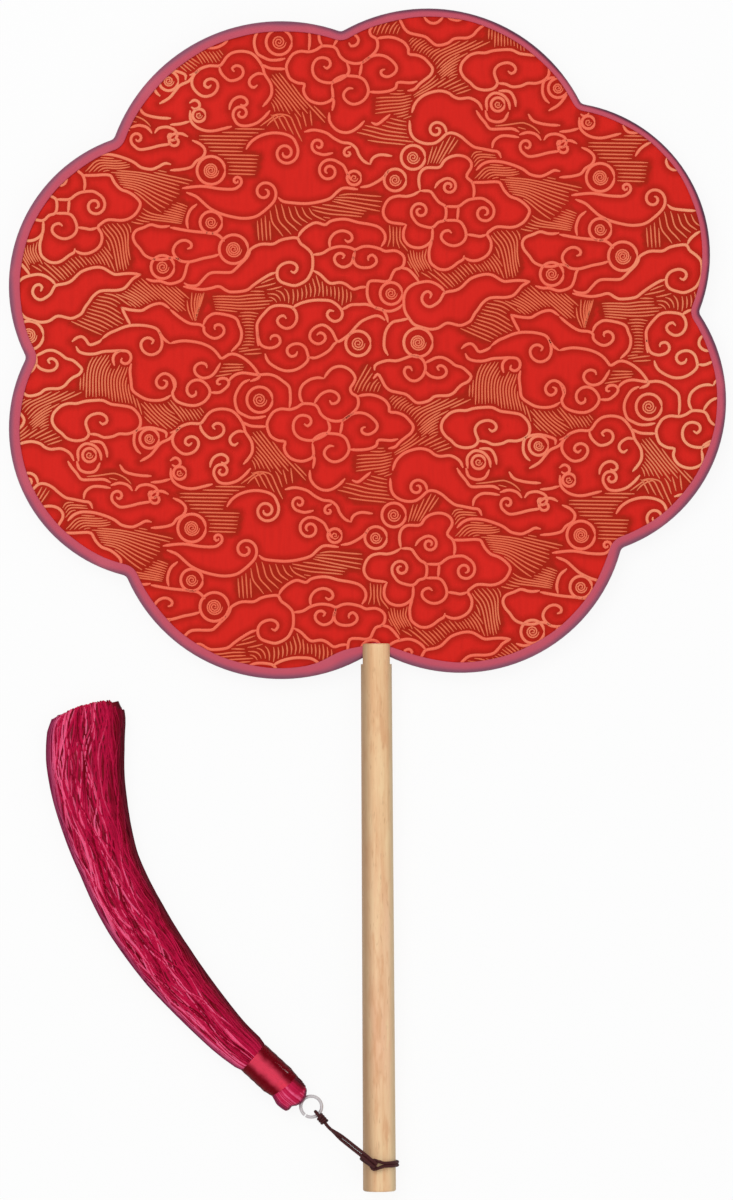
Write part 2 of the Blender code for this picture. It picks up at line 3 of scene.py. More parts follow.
import bmesh
import bpy
import numpy as np
from bpy.props import FloatProperty, FloatVectorProperty, IntProperty, PointerProperty
from mathutils import Matrix, Vector
from mathutils.geometry import delaunay_2d_cdt, intersect_sphere_sphere_2d
from mathutils.kdtree import KDTree


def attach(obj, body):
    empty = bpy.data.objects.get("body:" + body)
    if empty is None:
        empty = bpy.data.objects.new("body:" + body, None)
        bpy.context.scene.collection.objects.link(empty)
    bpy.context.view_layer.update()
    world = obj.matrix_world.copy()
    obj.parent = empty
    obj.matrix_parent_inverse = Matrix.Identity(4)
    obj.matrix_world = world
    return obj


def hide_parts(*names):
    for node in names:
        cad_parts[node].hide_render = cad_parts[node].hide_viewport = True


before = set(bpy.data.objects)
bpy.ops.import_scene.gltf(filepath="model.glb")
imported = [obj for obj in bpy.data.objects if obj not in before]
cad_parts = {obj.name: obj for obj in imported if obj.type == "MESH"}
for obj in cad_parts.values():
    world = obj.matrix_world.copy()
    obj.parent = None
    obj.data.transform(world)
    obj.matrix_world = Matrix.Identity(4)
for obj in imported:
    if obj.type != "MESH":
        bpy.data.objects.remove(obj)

bl_info = {
    "name": "Brocade Round Fan",
    "version": (1, 0, 0),
    "blender": (4, 5, 0),
    "location": "3D View > Sidebar > Round Fan",
    "description": "Dresses the round fan: brocade, binding, cord, ring and tassel",
    "category": "Object",
}

MM = 0.001
GAP = 0.3 * MM

# Blade outline: the inward corners of the hand-bent rim, anticlockwise from the right
CORNERS = [
    (110.3, 298.0), (70.8, 369.2), (-10.6, 394.2), (-88.1, 358.2),
    (-118.3, 284.1), (-84.8, 209.7), (0.0, 184.1), (83.5, 218.1),
]
LOBE_RISES = [19.7, 18.5, 17.8, 18.4, 20.1, 21.1, 22.6, 20.9]
CORNER_ROUND = 2.4 * MM
HANDLE_CORNER = 6
BLADE_MIDDLE = Vector((-3.8, 291.0)) * MM

# Blade layers, as heights above and below the mid-plane, and insets from the edge
CLOTH_IN = 1.25 * MM
CLOTH_OUT = 1.55 * MM
CLOTH_INSET = 0.75 * MM
CLOTH_MARGIN = 0.8 * MM
CLOTH_STEP = 1.15 * MM
SLACK = 0.035 * MM

# Steps of a lobe and of a corner, for each outline that is drawn
CLOTH_ARCS = (26, 4)
FIGURE_ARCS = (30, 3)
BINDING_ARCS = (34, 5)

# Ribbon's section: shares of its width and heights in millimetres, outside and inside
RIBBON_OUTER = [(1.0, 2.06), (0.97, 2.17), (0.86, 2.2), (0.62, 2.23), (0.4, 2.22), (0.24, 2.13),
                (0.11, 1.86), (0.035, 1.38), (0.0, 0.7)]
RIBBON_INNER = [(0.12, 0.7), (0.15, 1.3), (0.25, 1.72), (0.42, 1.86), (1.0, 1.86)]

# Where the ribbon's front is narrow, towards the upper right and at the handle, and wide
NARROW_WAY = (0.77, 0.64)
NARROW_SHARE = 0.36
PINCH_REACH = 5.5 * MM
PINCH_SHARE = 0.32
WIDE_OFFSET = (12, 2.5)
WIDE_REACH = 8 * MM
WIDE_SHARE = 0.45

# Waves of the ribbon's inner edge: height and length in millimetres, and where they start
RIBBON_WAVES = [(0.07, 7.0, 0.0), (0.05, 2.9, 1.0), (0.04, 17, 2.0)]
RIBBON_PUCKER = 0.03 * MM

# Cord, and its hitch drawn closer round the handle than the solid hitch
BUTT_RADIUS = 5.6 * MM
CORD_RADIUS = 0.45 * MM
HITCH_Y = 9.4 * MM
KNOT_X = -1.5 * MM
TURN_LEVEL = BUTT_RADIUS + CORD_RADIUS + 0.12 * MM
NOSE_LEVEL = TURN_LEVEL + 2 * CORD_RADIUS + 0.15 * MM
KNOT_ANGLE = asin(-KNOT_X / TURN_LEVEL)
NOSE_HALF = 1.55 * MM
NOSE_REACH = 1.2 * MM
NOSE_KEYS = 5
NOSE_CLIMB = [(322, 0.3, 0.0), (346, 0.8, 0.0), (360, 0.97, 0.5)]
TURN_OFFSET = 0.53 * MM
TURN_START = radians(24)
TURN_END = radians(300)
TURN_KEYS = 12
PULL_SLOPE = 0.6
RISER_OFFSET = 0.5 * MM
RISER_TOP = 8.6 * MM
RISER_BEND = 1.1 * MM
RISER_TURN = radians(6)
CORD_RUN = [
    (-1.2, 9.1, 9.1), (-5.2, 12.6, 9.1), (-9.3, 15.8, 7.4), (-13.2, 18.7, 3.6), (-16.8, 21.4, -0.2),
]
STRAND_OFFSET = 0.58 * MM
STRAND_TURN = (0.5, 0.8)
LOOP_RADIUS = 1.8 * MM
LOOP_STEPS = 12
CORD_PLIES = 3
CORD_LAY = 2.5 * MM
PLY_GROOVE = 0.84
PLY_SWELL = 0.18
CORD_AROUND = 12
CORD_STEP = 0.3 * MM

# The surface that the fan lies on, where the solid hitch touches it
FLOOR_Z = -(BUTT_RADIUS + GAP + 2 * CORD_RADIUS)

# Ring and the knot beside it
RING_CENTRE = Vector((-23.05, 28.77, -1.6)) * MM
RING_RADIUS = 3.55 * MM
RING_WIRE = 0.6 * MM
CORD_AWAY = Vector((cos(radians(-49.7)), sin(radians(-49.7)), 0))
KNOT_FROM_RING = 5.7 * MM
KNOT_TURNS = 3
KNOT_STEPS = 32

# Tassel
TASSEL_ROUTE = [
    (-24.6, 29.6), (-31.9, 35.7), (-42.9, 45.9), (-53.5, 55.6), (-71.1, 76.3),
    (-84.2, 96.3), (-92.5, 114.8), (-97.7, 134.5), (-99.2, 150.0), (-98.2, 165.4),
]
HEAD_LENGTH = 9.4 * MM
NECK_RADIUS = 4.6 * MM
HEAD_RADIUS = 5.65 * MM
HEAD_STEPS = 20
HEAD_BACK = 11.0
HEAD_NARROWS = 7.4
HEAD_YARN = 0.3 * MM
HEAD_LAYERS = ((0.0, 40), (0.5, 34), (1.1, 28))
NECK_AXIS_Z = FLOOR_Z + 5.75 * MM
WRAP_LENGTH = 15.0 * MM
WRAP_AROUND = 32
SKIRT = [
    (0.0, 12.0, 10.8), (0.1, 14.0, 10.8), (0.3, 18.2, 10.4), (0.45, 19.9, 10.0),
    (0.6, 20.0, 9.6), (0.76, 23.8, 9.0), (0.88, 26.3, 8.6), (0.95, 26.2, 8.2),
    (0.985, 24.2, 7.0), (1.0, 20.6, 5.0),
]
SKIRT_STEPS = 60
SKIRT_DEPTHS = (1.0, 1.0, 1.9, 1.3, 2.6)
SKIRT_WANDER = ((1.5, 6.0), (0.4, 2.6))
WANDER_START = 30
SKIRT_TONES = [0.5, 0.38, 1.0, 0.78, 0.15]
SKIRT_TONE_SHARES = [0.22, 0.18, 0.24, 0.22, 0.14]
SKIRT_SINK = 12.0 * MM
SKIRT_BLEND = 2.2 * MM
CORE_AROUND = 48
CORE_RINGS = 50
YARN_TWIST = 0.9
SKIRT_FUZZ = 0.5 * MM
NECK_SPREAD = 0.7 * MM
NECK_LEAN = 1.27 * MM
CUT_SLANT = radians(17)
SLANT_START = 0.75

# View of the photograph: straight down, with a small roll
VIEW_MIDDLE = Vector((-3.2, 201.0, 0.0)) * MM
VIEW_HEIGHT = 408 * MM
VIEW_ROLL = radians(-0.35)
VIEW_DISTANCE = 3.0

# Stage: the floor's size, and each lamp's name, place, power and width
FLOOR_SIZE = 6.0
LAMPS = (("key_light", (-0.5, 0.75, 1.5), 11.0, 1.1), ("fill_light", (0.7, -0.3, 1.2), 3.0, 1.4))


def linear(red, green, blue):
    """Scene-linear colour for a colour given as 0 to 255 display values."""
    return tuple(((v / 255 + 0.055) / 1.055) ** 2.4 for v in (red, green, blue))


class Value:
    """A shader socket whose arithmetic adds Math nodes."""

    def __init__(self, look, socket):
        self.look = look
        self.socket = socket

    def math(self, operation, *values):
        return self.look.node("Math", {"operation": operation}, *values)

    def __add__(self, other):
        return self.math("ADD", self, other)

    def __sub__(self, other):
        return self.math("SUBTRACT", self, other)

    def __mul__(self, other):
        return self.math("MULTIPLY", self, other)

    def __truediv__(self, other):
        return self.math("DIVIDE", self, other)

    def __pow__(self, other):
        return self.math("POWER", self, other)

    def __radd__(self, other):
        return self.math("ADD", other, self)

    def __rsub__(self, other):
        return self.math("SUBTRACT", other, self)

    def __rmul__(self, other):
        return self.math("MULTIPLY", other, self)

    def swing(self):
        """Wave between 0 and 1 with this as its angle."""
        return self.math("SINE", self) * 0.5 + 0.5

    def wave(self, period):
        """Wave between 0 and 1 that repeats after each period."""
        return (self * (2 * pi / period)).swing()

    def size(self):
        return self.math("ABSOLUTE", self)

    def ramp(self, low, high):
        """0 below low, 1 above high, and smooth between."""
        settings = {"interpolation_type": "SMOOTHSTEP"}
        return self.look.node("MapRange", settings, self, low, high, 0.0, 1.0)


class Look:
    """A material being made: its node tree, its shader and shortcuts for nodes."""

    def __init__(self, name, **constants):
        self.material = bpy.data.materials.new(name)
        self.material.use_nodes = True
        self.tree = self.material.node_tree
        self.shader = self.tree.nodes["Principled BSDF"]
        for socket, value in constants.items():
            self.shader.inputs[socket.replace("_", " ")].default_value = value

    def put(self, socket, value):
        if isinstance(value, Value):
            self.tree.links.new(value.socket, socket)
        elif isinstance(value, tuple) and len(value) == 3 and socket.type == "RGBA":
            socket.default_value = (*value, 1.0)
        else:
            socket.default_value = value

    def node(self, kind, settings=None, *values, output=0, **named):
        """Add a node, set it up, fill its sockets and return one output."""
        made = self.tree.nodes.new("ShaderNode" + kind)
        for name, value in (settings or {}).items():
            setattr(made, name, value)
        for socket, value in zip(made.inputs, values):
            self.put(socket, value)
        for name, value in named.items():
            self.put(made.inputs[name.replace("_", " ")], value)
        return Value(self, made.outputs[output])

    def place(self):
        return self.node("TexCoord", output="Object")

    def stretched(self, scale):
        """Object coordinates scaled along each axis, to draw a pattern long or fine."""
        return self.node("Mapping", None, Vector=self.place(), Scale=scale)

    def attributes(self, *names):
        """Numbers stored for each vertex, by their names."""
        return [self.node("Attribute", {"attribute_name": name}, output="Fac") for name in names]

    def noise(self, place, scale, detail=2.0, roughness=0.5):
        return self.node("TexNoise", None, Vector=place, Scale=scale, Detail=detail,
                         Roughness=roughness)

    def axes(self, place):
        split = self.node("SeparateXYZ", None, place).socket.node
        return [Value(self, output) for output in split.outputs]

    def mix(self, share, first, second):
        """Colour between two colours."""
        made = self.tree.nodes.new("ShaderNodeMix")
        made.data_type = "RGBA"
        for index, value in ((0, share), (6, first), (7, second)):
            self.put(made.inputs[index], value)
        return Value(self, made.outputs[2])

    def layers(self, shade, *coats):
        """Colour under further coats, each given as its share and its colour."""
        for share, colour in coats:
            shade = self.mix(share, shade, colour)
        return shade

    def bump(self, height, depth, strength=1.0):
        """Normal for a height from 0 to 1 that stands `depth` metres proud at 1."""
        return self.node("Bump", None, strength, depth, Height=height)

    def finish(self, **sockets):
        for socket, value in sockets.items():
            self.put(self.shader.inputs[socket.replace("_", " ")], value)
        return self.material


def smooth_route(points, steps):
    """Catmull-Rom samples through a route's own points, ends included."""
    padded = [2 * points[0] - points[1]] + points + [2 * points[-1] - points[-2]]
    samples = []
    for a, b, c, d in zip(padded, padded[1:], padded[2:], padded[3:]):
        for i in range(steps):
            t = i / steps
            samples.append(0.5 * (
                2 * b + (c - a) * t + (2 * a - 5 * b + 4 * c - d) * t ** 2
                + (3 * b - a - 3 * c + d) * t ** 3))
    samples.append(points[-1].copy())
    return samples


def as_rows(points):
    return np.array([tuple(p) for p in points])


def smoothed(points, steps):
    """The same for rows of numbers."""
    return as_rows(smooth_route([Vector(p) for p in points], steps))


def eased(share):
    """A share from 0 to 1 that starts and ends gently."""
    return share * share * (3 - 2 * share)


def run_lengths(points):
    """Distance along a route at each of its points."""
    steps = np.linalg.norm(np.diff(points, axis=0), axis=1)
    return np.concatenate([[0.0], np.cumsum(steps)])


def even(points, step):
    """The route again with points about a step apart."""
    along = run_lengths(points)
    count = max(2, ceil(along[-1] / step) + 1)
    at = np.linspace(0, along[-1], count)
    return np.stack([np.interp(at, along, points[:, k]) for k in range(points.shape[1])], axis=1)


def unit(vectors):
    """Rows of numbers scaled to a length of 1."""
    return vectors / np.linalg.norm(vectors, axis=1)[:, None]


def dress(made, look, body):
    """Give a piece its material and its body."""
    made.data.materials.clear()
    made.data.materials.append(look)
    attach(made, body)
    return made


def mesh_object(name, vertices, faces, sharp=50):
    mesh = bpy.data.meshes.new(name)
    mesh.from_pydata([tuple(v) for v in vertices], [], faces)
    mesh.validate()
    bm = bmesh.new()
    bm.from_mesh(mesh)
    bmesh.ops.recalc_face_normals(bm, faces=bm.faces)
    bm.to_mesh(mesh)
    bm.free()
    mesh.shade_smooth()
    mesh.set_sharp_from_angle(angle=radians(sharp))
    made = bpy.data.objects.new(name, mesh)
    bpy.context.scene.collection.objects.link(made)
    return made


def add_values(made, **values):
    """Store numbers for each vertex under their names, for the material to read."""
    for name, numbers in values.items():
        store = made.data.attributes.new(name, "FLOAT", "POINT")
        store.data.foreach_set("value", np.asarray(numbers, dtype=np.float32))


def carried_frames(points):
    """Side and up directions along a route, carried along it without twist."""
    ahead = unit(np.gradient(points, axis=0))
    ups = np.zeros_like(points)
    current = np.array((0.0, 0.0, 1.0))
    for i, direction in enumerate(ahead):
        current = current - direction * (current @ direction)
        current /= np.linalg.norm(current)
        ups[i] = current
    return np.cross(ahead, ups), ups


def tube_parts(points, section):
    """Vertices of a tube: section gives its outline, as rows of two offsets, at each point."""
    sides, ups = carried_frames(points)
    rings = [points[i] + np.outer(s[:, 0], sides[i]) + np.outer(s[:, 1], ups[i])
             for i, s in enumerate(section)]
    return np.concatenate(rings)


def ring_quads(count, around, start=0, closed=False):
    """Quads between each ring of vertices and the next, and from last to first if closed."""
    faces = []
    for i in range(count if closed else count - 1):
        low, high = (start + ring % count * around for ring in (i, i + 1))
        for k in range(around):
            j = (k + 1) % around
            faces.append((low + k, low + j, high + j, high + k))
    return faces


def tube_faces(count, around, start=0):
    """Quads of a tube of `count` rings, with its two ends closed."""
    first = tuple(start + k for k in range(around))
    last = tuple((count - 1) * around + k for k in first)
    return ring_quads(count, around, start) + [first[::-1], last]


def circle(radius, around):
    """Rows of two offsets round a circle, or round a shape if the radius is a row of reaches."""
    turns = np.arange(around) * 2 * pi / around
    return np.stack([radius * np.cos(turns), radius * np.sin(turns)], axis=1)


def polar(middle, reach, angle):
    return middle + reach * Vector((cos(angle), sin(angle)))


class Lobe:
    """Circle arc between two corners of the blade's outline."""

    def __init__(self, start, end, rise):
        chord = end - start
        outward = Vector((chord.y, -chord.x)).normalized()
        self.radius = (chord.length ** 2 / 4 + rise ** 2) / (2 * rise)
        self.centre = (start + end) / 2 - outward * (self.radius - rise)


def blade_lobes():
    corners = [Vector(corner) * MM for corner in CORNERS]
    ends = corners[1:] + corners[:1]
    return [Lobe(a, b, rise * MM) for a, b, rise in zip(corners, ends, LOBE_RISES)]


def corner_centre(before, after):
    """Centre of the round that joins two lobes, outside them both."""
    meets = intersect_sphere_sphere_2d(
        before.centre, before.radius + CORNER_ROUND, after.centre, after.radius + CORNER_ROUND)
    outward = ((before.centre + after.centre) / 2 - BLADE_MIDDLE).normalized()
    return max(meets, key=lambda point: (point - BLADE_MIDDLE).dot(outward))


def arc(centre, radius, start, end, steps, anticlockwise=True):
    """Points of an arc from one direction vector to another, both ends included."""
    a = atan2(start.y, start.x)
    b = atan2(end.y, end.x)
    if anticlockwise and b < a:
        b += 2 * pi
    if not anticlockwise and b > a:
        b -= 2 * pi
    return [polar(centre, radius, a + (b - a) * i / steps) for i in range(steps + 1)]


def outline(inset, lobe_steps, corner_steps):
    """Closed blade outline at an inset, anticlockwise, each lobe and corner an arc."""
    lobes = blade_lobes()
    points = []
    for i, lobe in enumerate(lobes):
        after = lobes[(i + 1) % len(lobes)]
        start = corner_centre(lobes[i - 1], lobe)
        end = corner_centre(lobe, after)
        points += arc(lobe.centre, lobe.radius - inset, start - lobe.centre,
                      end - lobe.centre, lobe_steps)
        points += arc(end, CORNER_ROUND + inset, lobe.centre - end,
                      after.centre - end, corner_steps, False)[1:-1]
    return as_rows(points)


def inside(points, polygon):
    """Which points lie in a closed polygon."""
    x, y = points[:, 0], points[:, 1]
    hit = np.zeros(len(points), bool)
    for (x0, y0), (x1, y1) in zip(polygon, np.roll(polygon, -1, axis=0)):
        if y0 != y1:
            crosses = (y0 > y) != (y1 > y)
            hit ^= crosses & (x < x0 + (x1 - x0) * (y - y0) / (y1 - y0))
    return hit


def runs(flags):
    """Start and end of every unbroken run of true flags."""
    start = None
    for k, flag in enumerate([*flags, False]):
        if flag and start is None:
            start = k
        elif not flag and start is not None:
            yield start, k
            start = None


def length(name, description, default, low, high):
    """A length that a user would change, given in millimetres."""
    return FloatProperty(
        name=name, description=description, default=default * MM, min=low * MM, max=high * MM,
        subtype="DISTANCE", unit="LENGTH", precision=5)


class FanSizes(bpy.types.PropertyGroup):
    """Sizes that a user would change."""

    thread_width: length(
        "Cloud line width", "Width of the brocade's cloud lines", 1.15, 0.2, 3)
    wave_width: length(
        "Wave line width", "Width of the brocade's fine wave lines", 0.62, 0.1, 2)
    thread_height: length(
        "Line height", "How far the brocade's lines stand above the cloth", 0.16, 0.02, 0.5)
    binding_width: length(
        "Binding width", "How far the ribbon covers each face", 3.7, 2, 8)
    cord_diameter: length(
        "Cord diameter", "Diameter of the waxed cord", 1.14, 0.4, 2)
    strand_count: IntProperty(
        name="Skirt strands", description="Loose yarns modelled in the tassel's skirt",
        default=250, min=40, max=400)
    strand_radius: length(
        "Strand radius", "Radius of one loose yarn of the tassel", 0.31, 0.1, 1)
    neck_turns: IntProperty(
        name="Neck turns", description="Turns of thread wound round the tassel's neck",
        default=44, min=20, max=80)


def colour(name, description, red, green, blue):
    return FloatVectorProperty(
        name=name, description=description, subtype="COLOR", size=3, min=0, max=1,
        default=linear(red, green, blue))


class FanColours(bpy.types.PropertyGroup):
    """Colours that a user would change."""

    ground: colour("Brocade ground", "Red ground of the brocade", 226, 36, 26)
    # Painted shade: the ground beside a cloud line is darker
    ground_near: colour("Ground by lines", "Ground beside a cloud line", 184, 26, 8)
    ground_wave: colour("Ground in waves", "Ground between fine wave lines", 168, 32, 5)
    coral: colour("Coral thread", "Cloud lines in the middle of the blade", 255, 112, 86)
    gold: colour("Gold thread", "Cloud lines towards the sides", 255, 166, 124)
    ribbon: colour("Binding", "Satin ribbon on the blade's faces", 208, 84, 104)
    # Painted shade on the ribbon's fold at the blade's edge, darker towards the upper right
    ribbon_shade: colour("Binding shade", "Fold of the ribbon at the upper right", 74, 34, 58)
    ribbon_fold_shade: colour("Binding edge", "Satin ribbon on the fold", 146, 86, 108)
    wood: colour("Wood", "Beech of the handle", 252, 214, 168)
    wood_dark: colour("Wood grain", "Darker grain of the handle", 234, 180, 134)
    cord: colour("Cord", "Waxed cord", 58, 20, 22)
    yarn: colour("Tassel yarn", "Middle tone of the tassel", 206, 22, 76)
    # The yarn highlight and shade colours serve both the palest and darkest strands and painted
    # light and shade
    yarn_light: colour("Yarn highlight", "Palest strands of the tassel", 252, 104, 150)
    yarn_dark: colour("Yarn shade", "Darkest strands of the tassel", 124, 0, 24)
    # The neck thread's colours paint a highlight along its top and shade on its sides
    thread: colour("Neck thread", "Thread wound round the tassel's neck", 248, 74, 104)
    thread_shade: colour("Neck thread shade", "Deeper thread of the neck's sides", 122, 0, 20)


def sizes():
    return bpy.context.scene.fan_sizes


def tone(name):
    return tuple(getattr(bpy.context.scene.fan_colours, name))


class FanOperator:
    """What the fan's operators share."""

    bl_options = {"REGISTER", "UNDO"}

    def execute(self, context):
        if context.mode != "OBJECT":
            bpy.ops.object.mode_set(mode="OBJECT")
        bpy.ops.object.select_all(action="DESELECT")
        self.make()
        return {"FINISHED"}


class FAN_OT_camera(FanOperator, bpy.types.Operator):
    """Look straight down on the fan, as the photograph does"""

    bl_idname = "fan.camera"
    bl_label = "Camera"

    def make(self):
        lens = bpy.data.cameras.new("camera")
        lens.lens = lens.sensor_width * VIEW_DISTANCE / VIEW_HEIGHT
        lens.clip_start = 0.05
        lens.clip_end = 30.0
        made = bpy.data.objects.new("camera", lens)
        made.location = VIEW_MIDDLE + Vector((0, 0, VIEW_DISTANCE))
        made.rotation_euler = (0, 0, VIEW_ROLL)
        bpy.context.scene.collection.objects.link(made)
        bpy.context.scene.camera = made


def waxed_cord():
    look = Look("waxed_cord", Roughness=0.6, Specular_IOR_Level=0.15)
    along, turn = look.attributes("along", "turn")
    strands = ((turn - along * 0.4) * float(CORD_PLIES)).wave(1.0)
    fuzz = look.noise(look.place(), 2600.0, 3.0)
    deep = tone("cord")
    pale = tuple(min(1.0, c * 2.6 + 0.012) for c in deep)
    shade = look.mix(strands * 0.55 + fuzz * 0.35, tuple(c * 0.55 for c in deep), pale)
    normal = look.bump(strands * 0.6 + fuzz * 0.4, 0.06 * MM, 0.6)
    return look.finish(Base_Color=shade, Normal=normal)


def round_handle(angle, level, offset):
    """Point at an angle from the top, anticlockwise from the butt, round the handle."""
    return Vector((-level * sin(angle), HITCH_Y + offset, level * cos(angle)))


def hitch_half(side):
    """Route of half the hitch, from its riser once round the handle to the nose."""
    riser = Vector((KNOT_X, HITCH_Y + side * RISER_OFFSET, 0))
    keys = [riser + Vector((0, 0, RISER_TOP)), riser + Vector((0, 0, RISER_TOP - RISER_BEND))]
    keys.append(round_handle(KNOT_ANGLE + RISER_TURN, TURN_LEVEL, side * RISER_OFFSET))
    for i in range(TURN_KEYS):
        angle = TURN_START + (TURN_END - TURN_START) * i / (TURN_KEYS - 1)
        lean = PULL_SLOPE * max(0, TURN_LEVEL * (sin(angle) - sin(TURN_START)))
        keys.append(round_handle(angle, TURN_LEVEL, side * TURN_OFFSET + lean))
    for degrees, rise, spread in NOSE_CLIMB:
        level = TURN_LEVEL + (NOSE_LEVEL - TURN_LEVEL) * rise
        offset = TURN_OFFSET + (NOSE_HALF - TURN_OFFSET) * spread
        keys.append(round_handle(radians(degrees), level, side * offset))
    for i in range(NOSE_KEYS):
        turn = radians(90 * i / NOSE_KEYS)
        angle = 2 * pi + KNOT_ANGLE + NOSE_REACH / NOSE_LEVEL * sin(turn)
        keys.append(round_handle(angle, NOSE_LEVEL, side * NOSE_HALF * cos(turn)))
    return keys


def hitch_route():
    nose = round_handle(KNOT_ANGLE + NOSE_REACH / NOSE_LEVEL, NOSE_LEVEL, 0)
    keys = hitch_half(1) + [nose] + hitch_half(-1)[::-1]
    return even(smoothed(keys, 6), CORD_STEP)


def loop_shape():
    """Reach of the loop's centre and of its neck from the ring's centre, and its arcs' turn."""
    centre = RING_RADIUS + LOOP_RADIUS - RING_WIRE - GAP - CORD_RADIUS
    turn = acos((STRAND_OFFSET / LOOP_RADIUS + 1) / 2)
    return centre, centre + 2 * LOOP_RADIUS * sin(turn), turn


def strand_rise(reach):
    """Height of the upper strand over the ring's level at a reach from the ring's centre."""
    centre, neck, turn = loop_shape()
    if reach >= neck:
        return STRAND_OFFSET
    if reach > centre + LOOP_RADIUS * sin(turn):
        return STRAND_OFFSET + LOOP_RADIUS - sqrt(LOOP_RADIUS ** 2 - (neck - reach) ** 2)
    return sqrt(LOOP_RADIUS ** 2 - (reach - centre) ** 2)


def cord_loop():
    """Upright loop round the ring's wire, as reach and height: it necks in to the strands."""
    centre, neck, turn = loop_shape()
    upper = arc(Vector((neck, STRAND_OFFSET + LOOP_RADIUS)), LOOP_RADIUS, Vector((0, -1)),
                Vector((-sin(turn), -cos(turn))), 3, False)[1:]
    lower = [Vector((point.x, -point.y)) for point in reversed(upper)]
    bend = arc(Vector((centre, 0)), LOOP_RADIUS, Vector((sin(turn), cos(turn))),
               Vector((sin(turn), -cos(turn))), LOOP_STEPS)[1:-1]
    return upper + bend + lower


def free_route():
    """Doubled free cord: out from the hitch, round the ring's wire and back."""
    up = Vector((0, 0, 1))
    neck = RING_CENTRE + loop_shape()[1] * CORD_AWAY
    run = smooth_route([Vector(point) * MM for point in CORD_RUN] + [neck], 4)
    begin, end = STRAND_TURN
    strands = ([], [])
    for i, point in enumerate(run):
        ahead = run[i + 1] - point if i + 1 < len(run) else -CORD_AWAY
        level = Vector((ahead.y, -ahead.x, 0)).normalized()
        over = level.cross(ahead).normalized()
        share = min(1, max(0, (i / (len(run) - 1) - begin) / (end - begin)))
        twist = radians(90) * eased(share)
        offset = STRAND_OFFSET * (cos(twist) * level + sin(twist) * over)
        strands[0].append(point + offset)
        strands[1].append(point - offset)
    loop = [RING_CENTRE + point.x * CORD_AWAY + point.y * up for point in cord_loop()]
    return even(smoothed(strands[0] + loop + strands[1][::-1], 4), CORD_STEP)


def knot_route():
    """Turns of cord bound close round both strands beside the ring."""
    across = Vector((-CORD_AWAY.y, CORD_AWAY.x, 0))
    half_wide = 2 * CORD_RADIUS + 0.02 * MM
    pitch = 2 * CORD_RADIUS
    points = []
    for i in range(KNOT_STEPS * KNOT_TURNS + 1):
        turn = 2 * pi * i / KNOT_STEPS
        reach = KNOT_FROM_RING + pitch * (i / KNOT_STEPS - KNOT_TURNS / 2)
        high = half_wide * sin(turn) + strand_rise(reach) * max(-1, min(1, 2 * sin(turn)))
        points.append(RING_CENTRE + reach * CORD_AWAY + half_wide * cos(turn) * across
                      + Vector((0, 0, high)))
    return as_rows(points)


def laid_cord(name, points, radius):
    """Cord of twisted plies along a route, its lay modelled in its outline."""
    along = run_lengths(points)
    turns = np.arange(CORD_AROUND) * 2 * pi / CORD_AROUND
    section = []
    for distance in along:
        lobes = np.abs(np.cos(CORD_PLIES / 2 * (turns - 2 * pi * distance / CORD_LAY)))
        section.append(circle(radius * (PLY_GROOVE + PLY_SWELL * lobes ** 0.7), CORD_AROUND))
    made = mesh_object(name, tube_parts(points, section), tube_faces(len(points), CORD_AROUND))
    add_values(made, along=np.repeat(along / MM, CORD_AROUND),
               turn=np.tile(np.abs(turns / pi - 1), len(points)))
    return made


class FAN_OT_cords(FanOperator, bpy.types.Operator):
    """Lay the waxed cord: its hitch on the handle, the doubled run and the knot at the ring"""

    bl_idname = "fan.cords"
    bl_label = "Cord and hitch"

    def make(self):
        look = waxed_cord()
        radius = sizes().cord_diameter / 2
        hitch = dress(laid_cord("hitch_cord", hitch_route(), radius), look, "hitch")
        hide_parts("handle_hitch")
        route = free_route()
        free = dress(laid_cord("free_cord", route, radius), look, "cord")
        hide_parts("hanging_cord")
        knot = dress(laid_cord("ring_knot", knot_route(), radius * 0.95), look, "cord")
        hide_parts("cord_knot")


def beech_wood():
    look = Look("beech_wood", Specular_IOR_Level=0.35, Coat_Roughness=0.4)
    long = look.stretched((1.0, 0.045, 1.0))
    streaks = look.noise(long, 420.0, 5.0, 0.6)
    bands = look.noise(long, 110.0, 2.0, 0.5)
    flecks = look.noise(look.stretched((1.0, 0.16, 1.0)), 1500.0, 2.0, 0.5).ramp(0.6, 0.74)
    blush = look.noise(look.stretched((1.0, 0.25, 1.0)), 60.0, 2.0).ramp(0.45, 0.75)
    mottle = look.noise(look.stretched((1.0, 0.2, 1.0)), 280.0, 3.0, 0.6)
    across = look.axes(look.place())[0] / BUTT_RADIUS
    grain = look.layers(
        tone("wood"),
        (streaks.ramp(0.35, 0.7), tone("wood_dark")),
        (bands.ramp(0.4, 0.7) * 0.35, linear(246, 198, 142)),
        (blush * 0.5, linear(252, 192, 158)),
        (mottle.ramp(0.5, 0.68) * 0.55, linear(222, 158, 110)),
        ((1.0 - mottle).ramp(0.52, 0.68) * 0.5, linear(255, 222, 172)),
        (flecks * 0.3, linear(186, 134, 92)),
        # Painted shade: the round handle's left side darker and its right side duller, by place
        # across it
        ((0.0 - across).ramp(0.1, 0.85) * 0.8, linear(164, 130, 96)),
        (across.ramp(0.55, 0.95) * 0.75, linear(206, 184, 142)))
    height = streaks * 0.7 - flecks * 0.5
    return look.finish(Base_Color=grain, Roughness=0.42 + streaks * 0.16,
                       Normal=look.bump(height, 0.06 * MM, 0.35))


def finish_solid(node, look):
    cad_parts[node].material_slots[0].material = look


class FAN_OT_handle(FanOperator, bpy.types.Operator):
    """Give the turned handle its beech"""

    bl_idname = "fan.handle"
    bl_label = "Handle"

    def make(self):
        finish_solid("handle", beech_wood())


